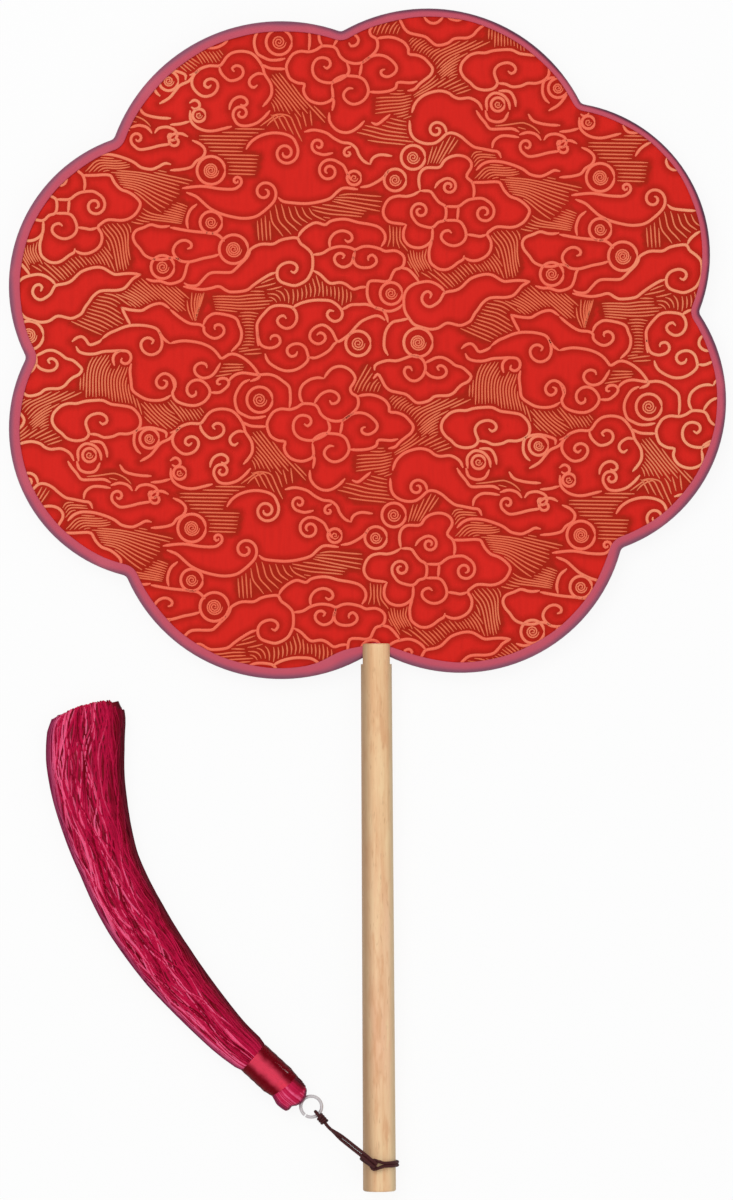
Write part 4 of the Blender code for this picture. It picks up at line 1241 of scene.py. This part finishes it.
def wave_line(field, row):
    """Route of one row of a field of waves; rows beyond either end carry the field on."""
    first, last, count = field
    share = row / (count - 1)
    keys = [unit_point(a) + (unit_point(b) - unit_point(a)) * share for a, b in zip(first, last)]
    return even(as_rows(smooth_route(keys, 6)), WAVE_STEP)


def spaced(field):
    """The field with no more rows than its width takes."""
    first, last, count = field
    width = max(np.linalg.norm(unit_point(b) - unit_point(a)) for a, b in zip(first, last))
    return first, last, max(2, min(count, 1 + round(width / WAVE_PITCH)))


def wave_lines(crowd):
    """Rows of every field of waves, carried on until they fill the ground up to the clouds."""
    spaced_fields = [spaced(field) for field in WAVE_FIELDS]
    fields = []
    for mark, field in enumerate(spaced_fields):
        rows = [free_run(wave_line(field, row), crowd, mark) for row in range(field[2])]
        fields.append([row for row in rows if len(row) >= SHORTEST_ROW])
        for row in fields[-1]:
            crowd.add(row, mark)
    for mark, (field, rows) in enumerate(zip(spaced_fields, fields)):
        for k, row in enumerate(rows):
            rows[k] = grown(row, crowd, mark)
        for step in (-1, 1):
            beside = np.concatenate(rows) if rows else np.zeros((0, 2))
            row = -1 if step < 0 else field[2]
            for _ in range(WAVE_ROWS):
                line = wave_line(field, row)
                reach = np.linalg.norm(line[:, None] - beside[None], axis=2).min(
                    axis=1, initial=1.0)
                line = free_run(line[reach < ROW_REACH], crowd, mark)
                broken = np.abs(np.diff(line, axis=0)).max(initial=0) > 2 * WAVE_STEP
                if len(line) < SHORTEST_ROW or broken:
                    break
                beside = grown(line, crowd, mark)
                rows.append(beside)
                row += step
    return [row for rows in fields for row in rows]


def pattern_lines():
    """Every line of one repeat in metres, and how fine it is from 0 to 1."""
    lines = [(cloud_line(keys), 0.0) for keys in CLOUD_LINES]
    for flower in ROSETTES:
        lines += rosette_lines(*flower)
    lines = [(as_rows(points), fine) for points, fine in lines]
    crowd = Crowd()
    for points, _ in lines:
        crowd.add(even(points, WAVE_STEP), CLOUD_MARK)
    return lines + [(row, 1.0) for row in wave_lines(crowd)]


def placed_lines(pattern, side):
    """The repeat's lines laid over the whole of one face and cut off under the binding."""
    limit = outline(2.0 * MM, *FIGURE_ARCS)
    low, high = limit.min(axis=0), limit.max(axis=0)
    shift = (0, 0) if side > 0 else BACK_SHIFT
    placed = []
    for points, fine in pattern:
        points = even(points, WAVE_LAID_STEP if fine else CLOUD_STEP)
        for corner in repeats(CELL_CORNER, 3):
            moved = (points + corner + shift) * (side, 1)
            if (moved.max(axis=0) < low).any() or (moved.min(axis=0) > high).any():
                continue
            placed += [(moved[start:end], fine)
                       for start, end in runs(inside(moved, limit)) if end - start > 2]
    return placed


def cloth_level(x, y):
    """How far the stretched cloth stands off its plane: faint pulls and slack."""
    return SLACK * (np.sin(x / (9 * MM) + 1.3 * np.sin(y / (14 * MM)))
                    + np.sin(y / (11 * MM) + 0.8 * np.sin(x / (8 * MM))))


def cloth_sheet(name, side, lines):
    """Stretched brocade of one face: a fine mesh of the blade's outline, with its thickness."""
    edge = outline(CLOTH_INSET, *CLOTH_ARCS)
    low, high = edge.min(axis=0), edge.max(axis=0)
    inner = outline(CLOTH_INSET + CLOTH_MARGIN, *CLOTH_ARCS)
    rows = []
    for j, y in enumerate(np.arange(low[1], high[1], CLOTH_STEP * 0.866)):
        xs = np.arange(low[0] + (j % 2) * CLOTH_STEP / 2, high[0], CLOTH_STEP)
        rows.append(np.stack([xs, np.full(len(xs), y)], axis=1))
    grid = np.concatenate(rows)
    grid = grid[inside(grid, inner)]
    points = [Vector(p) for p in edge] + [Vector(p) for p in grid]
    borders = [(i, (i + 1) % len(edge)) for i in range(len(edge))]
    flat, _, faces, _, _, _ = delaunay_2d_cdt(points, borders, [], 1, 1e-7)
    flat = as_rows(flat)
    height = CLOTH_OUT + cloth_level(flat[:, 0], flat[:, 1])
    vertices = np.column_stack([flat, side * height])
    if side < 0:
        faces = [tuple(reversed(face)) for face in faces]
    made = mesh_object(name, vertices, faces)
    if (sum(p.normal.z * p.area for p in made.data.polygons)) * side < 0:
        made.data.flip_normals()
    tree = KDTree(sum(len(points) for points, _ in lines))
    for index, point in enumerate(np.concatenate([points for points, _ in lines])):
        tree.insert((*point, 0), index)
    tree.balance()
    fine = np.concatenate([np.full(len(points), share) for points, share in lines])
    near, wave = [], []
    for x, y in flat:
        found = tree.find_n((x, y, 0), 4)
        near.append(found[0][2] / MM)
        wave.append(sum(fine[hit[1]] for hit in found) / 4 if found[-1][2] < WAVE_NEAR else 0.0)
    add_values(made, near=near, wave=wave)
    thick = made.modifiers.new("Thickness", "SOLIDIFY")
    thick.thickness = CLOTH_OUT - CLOTH_IN
    thick.offset = -1.0
    bpy.ops.object.select_all(action="DESELECT")
    made.select_set(True)
    bpy.context.view_layer.objects.active = made
    bpy.ops.object.modifier_apply(modifier=thick.name)
    made.select_set(False)
    return made


def woven_lines(name, side, lines):
    """The figure's raised threads: low rounded bands that lie on the cloth."""
    vertices, faces, fine_values, along_values, across_values = [], [], [], [], []
    total = 0
    for points, fine in lines:
        width = sizes().wave_width if fine else sizes().thread_width
        proud = sizes().thread_height * (WAVE_HEIGHT_SHARE if fine else 1.0)
        ahead = unit(np.gradient(points, axis=0))
        across = np.stack([-ahead[:, 1], ahead[:, 0]], axis=1)
        count = len(points)
        ends = np.minimum(np.arange(count), np.arange(count)[::-1]) / 2.0
        taper = np.clip(0.45 + 0.55 * ends, 0, 1)[:, None]
        base = CLOTH_OUT + cloth_level(points[:, 0], points[:, 1])
        for shift, lift in ((-0.5, -THREAD_SUNK), (-0.3, proud), (0.3, proud), (0.5, -THREAD_SUNK)):
            place = points + across * shift * width * taper
            vertices.append(np.column_stack([place, side * (base + lift)]))
        start = total
        total += 4 * count
        for i in range(count - 1):
            for k in range(4):
                j = (k + 1) % 4
                faces.append((start + k * count + i, start + j * count + i,
                              start + j * count + i + 1, start + k * count + i + 1))
        faces.append(tuple(start + k * count for k in range(4)))
        faces.append(tuple(start + k * count + count - 1 for k in range(4)))
        along_values.append(np.tile(run_lengths(points) / MM, 4))
        across_values.append(np.repeat((-1.0, -0.5, 0.5, 1.0), count))
        fine_values.append(np.full(4 * count, float(fine)))
    made = mesh_object(name, np.concatenate(vertices), faces, 80)
    add_values(made, fine=np.concatenate(fine_values), along=np.concatenate(along_values),
               across=np.concatenate(across_values))
    return made


def weave(look):
    """Fine satin weave as a height from 0 to 1: floats of warp over hidden weft."""
    x, y, _ = look.axes(look.place())
    return x.wave(WARP_PITCH) * 0.65 + (y + x * 0.4).wave(WEFT_PITCH) * 0.35


def brocade_ground():
    look = Look("brocade_ground", Specular_IOR_Level=0.1)
    fabric = weave(look)
    near, wave = look.attributes("near", "wave")
    slub = look.noise(look.stretched((1.0, 0.12, 1.0)), 500.0, 3.0)
    cloud = look.noise(look.place(), 26.0, 2.0)
    shade = look.layers(
        tone("ground"),
        # Painted shade: the ground darker beside the raised lines
        (1.0 - near.ramp(0.3, 3.2), tone("ground_near")),
        (wave * 0.75, tone("ground_wave")),
        ((slub - 0.5).size() * 0.6 + fabric * 0.1, linear(156, 18, 10)),
        (cloud.ramp(0.5, 0.75) * 0.2, linear(236, 40, 34)))
    return look.finish(Base_Color=shade, Roughness=0.5 + fabric * 0.2,
                       Normal=look.bump(fabric * 0.7 + slub * 0.3, 0.05 * MM, 0.5))


def figure_thread():
    look = Look("figure_thread", Specular_IOR_Level=0.2)
    along, across, fine = look.attributes("along", "across", "fine")
    x, y, _ = look.axes(look.place())
    turns = (along * (2 * pi / 0.55) + across * 2.2).swing()
    drift = look.noise(look.place(), 22.0, 2.0)
    sides = ((x + 0.004).size() / 0.115) ** 3.0
    pale = (sides * 0.6 + drift.ramp(0.42, 0.7) * 0.55 + fine * 0.1).ramp(0.0, 1.0)
    shade = look.layers(
        tone("coral"),
        (pale, tone("gold")),
        (fine * 0.6, linear(232, 110, 66)),
        # Painted shade along each raised line's edges, where it meets the cloth
        (across.size().ramp(0.5, 1.0) * 0.5, linear(214, 62, 40)),
        (turns * 0.15, linear(200, 70, 44)))
    return look.finish(Base_Color=shade, Roughness=0.4 + turns * 0.15,
                       Normal=look.bump(turns, 0.05 * MM, 0.5))


class FAN_OT_brocade(FanOperator, bpy.types.Operator):
    """Stretch the brocade over both faces and raise its woven clouds and waves"""

    bl_idname = "fan.brocade"
    bl_label = "Brocade"

    def make(self):
        ground, thread = brocade_ground(), figure_thread()
        pattern = pattern_lines()
        for face, side in (("front", 1), ("back", -1)):
            lines = placed_lines(pattern, side)
            cloth = dress(cloth_sheet(face + "_cloth", side, lines), ground, "fan")
            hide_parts(face + "_brocade")
            figure = dress(woven_lines(face + "_figure", side, lines), thread, "fan")


def satin_ribbon():
    look = Look("satin_ribbon", Specular_IOR_Level=0.18)
    along, across, away = look.attributes("along", "across", "away")
    ribs = along.wave(0.42)
    warps = (across * (2 * pi * 3.7 / 0.3)).swing()
    drift = look.noise(look.place(), 60.0, 3.0)
    crease = look.noise(look.place(), 240.0, 2.0)
    # Painted shade on the ribbon's fold at the edge, darker where the edge faces the upper right
    # (away)
    fold = 1.0 - (across + (drift - 0.5) * 0.35).ramp(0.06, 0.62)
    shade = look.layers(
        tone("ribbon"),
        (fold, look.mix(away, tone("ribbon_fold_shade"), tone("ribbon_shade"))),
        (drift.ramp(0.5, 0.8) * 0.4, linear(220, 106, 122)),
        (ribs * 0.12 + warps * 0.06, linear(112, 40, 76)))
    height = ribs * 0.5 + warps * 0.2 + crease * 0.6
    return look.finish(Base_Color=shade, Roughness=0.38 + drift * 0.15,
                       Normal=look.bump(height, 0.05 * MM, 0.5))


def binding_profile(width):
    """Outline of the folded ribbon as insets and heights, out along its face and back."""
    upper = [(share * width, level * MM) for share, level in RIBBON_OUTER]
    under = [(share * width, level * MM) for share, level in RIBBON_INNER]
    lower = [(inset, -level) for inset, level in upper[::-1]]
    back = [(inset, -level) for inset, level in under[::-1]]
    return upper + lower + back + under


class FAN_OT_binding(FanOperator, bpy.types.Operator):
    """Fold the satin ribbon over the blade's edge all the way round"""

    bl_idname = "fan.binding"
    bl_label = "Edge binding"

    def make(self):
        width = sizes().binding_width
        middle = self.line(width / 2)
        along = run_lengths(middle)
        waver = MM * sum(high * np.sin(along / (long * MM) + start)
                         for high, long, start in RIBBON_WAVES)
        pucker = RIBBON_PUCKER * np.sin(along / (1.9 * MM)) * np.sin(along / (12 * MM))
        profile = binding_profile(width)
        outward = unit(middle - np.array(BLADE_MIDDLE))
        # away narrows the ribbon's front and also sets the painted shade on its fold
        away = np.clip(outward @ np.array(NARROW_WAY), 0, 1) ** 2
        corner = np.array(CORNERS[HANDLE_CORNER]) * MM
        pinch = self.nearness(middle, corner, PINCH_REACH)
        left = self.nearness(middle, corner - np.array(WIDE_OFFSET) * MM, WIDE_REACH)
        narrow = 1 - NARROW_SHARE * away - PINCH_SHARE * pinch + WIDE_SHARE * left
        columns = []
        for inset, level in profile:
            here = self.line(inset)
            inward = self.line(inset + MM) - here
            here = here + inward * ((waver + (narrow - 1) * inset) / MM)[:, None] * min(
                1, inset / (0.3 * width))
            lift = np.sign(level) * pucker * inset / width
            columns.append(np.column_stack([here, level + lift]))
        rings = np.stack(columns, axis=1)
        count, around = rings.shape[:2]
        made = mesh_object("ribbon_binding", rings.reshape(-1, 3),
                           ring_quads(count, around, closed=True), 60)
        add_values(made, along=np.repeat(along / MM, around),
                   across=np.tile([inset / width for inset, _ in profile], count),
                   away=np.repeat(away, around))
        dress(made, satin_ribbon(), "fan")
        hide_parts("edge_binding")

    def line(self, inset):
        """Blade outline at an inset, from the seam at the handle's corner."""
        lobe_steps, corner_steps = BINDING_ARCS
        seam = HANDLE_CORNER * (lobe_steps + corner_steps) - corner_steps // 2
        return np.roll(outline(inset, *BINDING_ARCS), -seam, axis=0)

    def nearness(self, points, place, reach):
        """1 at a place, falling to 0 well beyond a reach from it."""
        return np.exp(-(np.linalg.norm(points - place, axis=1) / reach) ** 2)


def tassel_axis():
    """Even samples along the tassel's middle as position and distance from the tip."""
    samples = smoothed([(x * MM, y * MM, 0) for x, y in TASSEL_ROUTE], 24)
    return samples, run_lengths(samples)


def at_distance(axis, distance):
    """Point and forward direction at a distance along the tassel's middle."""
    samples, lengths = axis
    i = int(np.clip(np.searchsorted(lengths, distance), 1, len(samples) - 1))
    a, b = samples[i - 1], samples[i]
    share = (distance - lengths[i - 1]) / (lengths[i] - lengths[i - 1])
    ahead = (b - a) / np.linalg.norm(b - a)
    return a + (b - a) * share, ahead


def to_left(ahead):
    return np.array([-ahead[1], ahead[0], 0.0])


def upward(height):
    return np.array([0.0, 0.0, height])


def skirt_size(share):
    """Full width and height of the skirt at a share of its length."""
    for low, high in zip(SKIRT, SKIRT[1:]):
        if share <= high[0]:
            t = (share - low[0]) / (high[0] - low[0])
            return [(a + (b - a) * t) * MM for a, b in zip(low[1:], high[1:])]
    return [value * MM for value in SKIRT[-1][1:]]


def yarn_oval(axis, distance):
    """Half width, half height, middle height and slant of the hank at a distance from its tip."""
    waist = HEAD_LENGTH + WRAP_LENGTH + 0.8 * MM
    share = max(0.0, (distance - waist) / (axis[1][-1] - waist))
    width, height = skirt_size(min(1.0, share))
    blend = float(np.clip((distance - waist + SKIRT_BLEND) / SKIRT_BLEND, 0, 1))
    wide = NECK_RADIUS + (width / 2 + SKIRT_FUZZ - NECK_RADIUS) * blend
    high = NECK_RADIUS + (height / 2 - NECK_RADIUS) * blend
    level = max(FLOOR_Z + high, NECK_AXIS_Z - SKIRT_SINK * share)
    slant = CUT_SLANT * max(0.0, (share - SLANT_START) / (1 - SLANT_START))
    return wide, high, level, slant


def skirt_point(axis, distance, angle, inset):
    """Point of the hank: angle round its oval and how far it lies under its surface."""
    wide, high, level, slant = yarn_oval(axis, distance)
    place, ahead = at_distance(axis, distance)
    turned = np.array([-ahead[1] * cos(slant) - ahead[0] * sin(slant),
                       ahead[0] * cos(slant) - ahead[1] * sin(slant), 0.0])
    point = (place + turned * ((wide - inset) * cos(angle))
             + upward(level + (high - inset) * sin(angle)))
    point[2] = max(point[2], FLOOR_Z + inset)
    return point


def loose_yarn():
    look = Look("tassel_yarn", Specular_IOR_Level=0.12)
    shade, side, along = look.attributes("tone", "side", "along")
    streak = look.noise(look.place(), 900.0, 3.0)
    drift = look.noise(look.place(), 150.0, 2.0)
    # Painted shade: side darkens the hank towards its upper right side, and rim is a painted dark
    # rim along both its sides
    level = (shade + (drift - 0.5) * 0.4 + (streak - 0.5) * 0.3) * (
        0.3 + 0.7 * side.ramp(-0.85, -0.05))
    rim = look.mix(side.ramp(-0.2, 0.2), linear(58, 6, 18), linear(104, 18, 62))
    mixed = look.layers(
        tone("yarn_dark"),
        (level.ramp(0.0, 0.45), tone("yarn")),
        (level.ramp(0.5, 0.95), tone("yarn_light")),
        (side.size().ramp(0.74, 1.0) * 0.85, rim))
    twist = along.wave(YARN_TWIST)
    return look.finish(Base_Color=mixed, Roughness=0.4 + streak * 0.2,
                       Normal=look.bump(twist * 0.5 + streak * 0.5, 0.06 * MM, 0.5))


def tubes(name, routes, radius, around, tones, sides):
    """Many closed tubes as one piece, with their tones and how far to one side they lie, from which
    the material paints shade.
    """
    vertices, faces, tone_values, along_values = [], [], [], []
    start = 0
    ring = circle(radius, around)
    for points, shade in zip(routes, tones):
        count = len(points)
        vertices.append(tube_parts(points, [ring] * count))
        faces += tube_faces(count, around, start)
        start += count * around
        tone_values.append(np.repeat(shade, around))
        along_values.append(np.repeat(run_lengths(points) / MM, around))
    made = mesh_object(name, np.concatenate(vertices), faces, 80)
    add_values(made, tone=np.concatenate(tone_values),
               side=np.repeat(np.concatenate(sides), around),
               along=np.concatenate(along_values))
    return made


def skirt_routes(axis, draw):
    """Wavering routes of the skirt's yarns, in layers from the surface down."""
    routes, tones, sides = [], [], []
    count = sizes().strand_count
    radius = sizes().strand_radius
    begin = HEAD_LENGTH + WRAP_LENGTH - 2 * MM
    for k in range(count):
        inset = radius * SKIRT_DEPTHS[k % len(SKIRT_DEPTHS)]
        angle = 2 * pi * (k + draw.uniform(-0.5, 0.5)) / count
        phases = draw.uniform(0, 2 * pi, 3)
        waves = draw.uniform(0.7, 1.4, 2)
        left = cos(angle)
        end = axis[1][-1] + (1.0 - 1.9 * left ** 2 - 1.0 * max(0.0, left) ** 2
                             - 6.5 * max(0.0, -left - 0.6) - draw.uniform(0.0, 0.5)) * MM
        base = draw.choice(SKIRT_TONES, p=SKIRT_TONE_SHARES)
        points, shade, side = [], [], []
        for i in range(SKIRT_STEPS + 1):
            distance = begin + (end - begin) * i / SKIRT_STEPS
            run = (distance - begin) / MM
            wide = yarn_oval(axis, distance)[0]
            wander = min(1, run / WANDER_START) * sum(
                reach * sin(run / (long * wave) + phase)
                for (reach, long), wave, phase in zip(SKIRT_WANDER, waves, phases))
            turn = angle + wander * MM / wide
            points.append(skirt_point(axis, distance, turn, inset))
            # Painted shade: each strand's tone is lighter on top of the hank and darker round its
            # sides and underside
            top = max(0.0, sin(turn)) ** 0.6
            shade.append(base * (0.6 + 0.4 * top) + 0.12 * sin(run / 9 + phases[2]))
            side.append(cos(turn))
        routes.append(np.array(points))
        tones.append(np.clip(np.array(shade), 0, 1.1))
        sides.append(np.array(side))
    return routes, tones, sides


def hank_core(axis):
    """Closed body under the loose yarns, from inside the neck to the cut end."""
    begin, end = HEAD_LENGTH - 1 * MM, axis[1][-1] - 0.6 * MM
    rings = [[skirt_point(axis, begin + (end - begin) * i / (CORE_RINGS - 1),
                          2 * pi * k / CORE_AROUND, sizes().strand_radius * 2.2)
              for k in range(CORE_AROUND)] for i in range(CORE_RINGS)]
    made = mesh_object("skirt_core", np.concatenate(rings), tube_faces(CORE_RINGS, CORE_AROUND))
    # Dark tone: painted shade between the loose yarns; side adds the hank's painted side shade
    add_values(made, tone=np.full(CORE_RINGS * CORE_AROUND, 0.12),
               side=np.tile(circle(1.0, CORE_AROUND)[:, 0], CORE_RINGS),
               along=np.repeat(np.arange(CORE_RINGS) * 2.0, CORE_AROUND))
    return made


# Where the folded yarn ends at the ring: offsets across the head and how far from its tip
HEAD_END = [(-5.1, 6.6), (-4.5, 4.4), (-3.4, 2.9), (-1.8, 2.05), (0.0, 1.75), (1.2, 1.95),
            (2.6, 2.75), (3.6, 3.75), (4.9, 3.7), (5.8, 4.1), (6.3, 5.4)]


def head_route(axis, across, depth, draw):
    """One yarn folded over the ring: along the top of the head, round its end and back."""
    first, last = HEAD_END[0][0], HEAD_END[-1][0]
    offset = first + (last - first) * across
    middle, half = (first + last) / 2, (last - first) / 2
    end = float(np.interp(offset, *zip(*HEAD_END))) + depth
    rise = sqrt(max(0.0, 1 - ((offset - middle) / half) ** 2))
    high = 0.35 * MM + (HEAD_RADIUS / MM - 0.45 - depth) * rise ** 0.8 * MM
    points = []
    jitter = draw.uniform(-0.12, 0.12)
    for i in range(HEAD_STEPS + 1):
        turn = pi * i / HEAD_STEPS
        run = HEAD_BACK - (HEAD_BACK - end) * sin(turn) ** 0.62
        place, ahead = at_distance(axis, max(0.05, run) * MM)
        neck = eased(float(np.clip((run - HEAD_NARROWS) / (HEAD_BACK - HEAD_NARROWS), 0, 1)))
        ratio = (offset - middle) / half
        wide = offset + jitter + (((NECK_RADIUS + NECK_SPREAD) / MM - 0.2) * ratio - offset) * neck
        lift = high + (sqrt(1 - min(0.98, ratio ** 2)) * (NECK_RADIUS - 0.4 * MM) - high) * neck
        flat = np.sign(cos(turn)) * abs(cos(turn)) ** 0.75
        points.append(place + to_left(ahead) * wide * MM + upward(NECK_AXIS_Z + lift * flat))
    return np.array(points)


class FAN_OT_tassel(FanOperator, bpy.types.Operator):
    """Lay the tassel: its core, the loose yarns of the skirt, the folded head and the neck"""

    bl_idname = "fan.tassel"
    bl_label = "Tassel"

    def make(self):
        axis = tassel_axis()
        draw = np.random.default_rng(4)
        look = loose_yarn()
        core = dress(hank_core(axis), look, "tassel")
        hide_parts("tassel_yarn")
        routes, tones, sides = skirt_routes(axis, draw)
        skirt = tubes("skirt_yarns", routes, sizes().strand_radius, 4, tones, sides)
        dress(skirt, look, "tassel")
        dress(self.head(axis, draw), look, "tassel")
        neck = dress(self.neck(axis), self.neck_look(), "tassel")
        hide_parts("neck_wrap")

    def head(self, axis, draw):
        """Yarns folded over the ring side by side, in three layers."""
        routes, tones, sides = [], [], []
        fold = np.minimum(1.0, 1.2 * np.sin(np.arange(HEAD_STEPS + 1) * pi / HEAD_STEPS) ** 2)
        for depth, count in HEAD_LAYERS:
            for k in range(count):
                across = (k + 0.5) / count
                routes.append(head_route(axis, across, depth, draw))
                # Painted shade: yarns of deeper layers are darker; sides paints the head darker
                # towards one side and the rim colour at its folded end
                tones.append(np.full(len(fold), draw.uniform(0.42, 0.78) - 0.2 * depth))
                lean = max(-1.0, min(1.0, 1.15 * (2 * across - 1)))
                sides.append(np.where(fold > abs(lean), fold, lean))
        return tubes("head_yarns", routes, HEAD_YARN, 6, tones, sides)

    def neck(self, axis):
        """Thread wound close round the neck as one unbroken helix."""
        turns = sizes().neck_turns
        thread = WRAP_LENGTH / turns / 2
        steps = WRAP_AROUND * turns
        run = WRAP_LENGTH - 2 * thread
        points, sides = [], []
        for i in range(steps + 1):
            turn = 2 * pi * i / WRAP_AROUND
            lean = NECK_LEAN * cos(turn) * (1 - i / steps) ** 2
            place, ahead = at_distance(axis, HEAD_LENGTH + thread + run * i / steps + lean)
            radius = NECK_RADIUS + GAP + 0.3 * MM + 0.04 * MM * sin(i / 47)
            spread = NECK_SPREAD * min(1.0, 0.1 + 4 * i / steps)
            points.append(place + to_left(ahead) * (radius + spread) * cos(turn)
                          + upward(NECK_AXIS_Z + radius * sin(turn)))
            # side sets the painted highlight along the neck's top and the painted shade on its
            # sides
            sides.append(cos(turn))
        points = np.array(points)
        section = [circle(thread * 1.02, 6)] * len(points)
        made = mesh_object("neck_thread", tube_parts(points, section),
                           tube_faces(len(points), 6))
        add_values(made, along=np.repeat(run_lengths(points) / MM, 6), side=np.repeat(sides, 6))
        return made

    def neck_look(self):
        look = Look("neck_thread", Specular_IOR_Level=0.06)
        along, side = look.attributes("along", "side")
        ply = along.wave(0.5)
        drift = look.noise(look.place(), 300.0, 2.0)
        # Painted highlight along the neck's top, painted shade on its sides and a darker painted
        # rim at the very sides
        lit = 1.0 - (side.size() + (drift - 0.5) * 0.3).ramp(0.12, 0.6)
        shade = look.layers(
            tone("thread_shade"),
            (lit, tone("thread")),
            (ply * 0.15, tone("thread_shade")),
            (side.size().ramp(0.85, 1.0) * 0.6, linear(50, 4, 16)))
        return look.finish(Base_Color=shade, Roughness=0.4 + drift * 0.15,
                           Normal=look.bump(ply, 0.03 * MM, 0.5))


class FAN_OT_stage(FanOperator, bpy.types.Operator):
    """Set the pale floor and the soft light"""

    bl_idname = "fan.stage"
    bl_label = "Floor and light"

    def make(self):
        bpy.ops.mesh.primitive_plane_add(size=FLOOR_SIZE, location=(0, 0.2, FLOOR_Z - 0.05 * MM))
        floor = bpy.context.active_object
        floor.name = "floor"
        floor.select_set(False)
        look = Look("pale_floor", Roughness=0.9, Base_Color=(0.93, 0.93, 0.93, 1.0))
        glow = look.node("Emission", None, (1.0, 1.0, 1.0), 1.0)
        rays = look.node("LightPath").socket.node.outputs
        seen = (Value(look, rays["Is Camera Ray"]) + Value(look, rays["Is Glossy Ray"])
                + Value(look, rays["Is Transmission Ray"]))
        lit = Value(look, look.shader.outputs[0])
        mixed = look.node("MixShader", None, seen * 0.9, lit, glow)
        surface = look.tree.nodes["Material Output"].inputs["Surface"]
        look.tree.links.new(mixed.socket, surface)
        floor.data.materials.append(look.material)
        self.lights()

    def lights(self):
        scene = bpy.context.scene
        world = bpy.data.worlds.new("soft_daylight")
        world.use_nodes = True
        background = world.node_tree.nodes["Background"]
        background.inputs["Color"].default_value = (1, 1, 1, 1)
        background.inputs["Strength"].default_value = 0.5
        scene.world = world
        for name, place, power, width in LAMPS:
            lamp = bpy.data.lights.new(name, "AREA")
            lamp.size = width
            lamp.energy = power
            made = bpy.data.objects.new(name, lamp)
            made.location = place
            aim = VIEW_MIDDLE - made.location
            made.rotation_euler = aim.to_track_quat("-Z", "Y").to_euler()
            scene.collection.objects.link(made)
        scene.view_settings.view_transform = "Standard"


class FAN_PT_panel(bpy.types.Panel):
    """Sidebar list of the fan's sizes, colours and pieces"""

    bl_idname = "FAN_PT_panel"
    bl_label = "Round Fan"
    bl_space_type = "VIEW_3D"
    bl_region_type = "UI"
    bl_category = "Round Fan"

    def draw(self, context):
        for group in (context.scene.fan_sizes, context.scene.fan_colours):
            box = self.layout.box()
            for name in group.__annotations__:
                box.prop(group, name)
        for step in STEPS:
            self.layout.operator(step.bl_idname, text=step.bl_label)


STEPS = (FAN_OT_camera, FAN_OT_cords, FAN_OT_handle, FAN_OT_rim, FAN_OT_brocade,
         FAN_OT_binding, FAN_OT_tassel, FAN_OT_stage)
CLASSES = (FanSizes, FanColours) + STEPS + (FAN_PT_panel,)


def register():
    for each in CLASSES:
        bpy.utils.register_class(each)
    bpy.types.Scene.fan_sizes = PointerProperty(type=FanSizes)
    bpy.types.Scene.fan_colours = PointerProperty(type=FanColours)


def unregister():
    del bpy.types.Scene.fan_colours
    del bpy.types.Scene.fan_sizes
    for each in reversed(CLASSES):
        bpy.utils.unregister_class(each)


def main():
    """Make every piece in order."""
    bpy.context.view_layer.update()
    register()
    for step in STEPS:
        group, name = step.bl_idname.split(".")
        getattr(getattr(bpy.ops, group), name)()


if __name__ == "__main__":
    main()
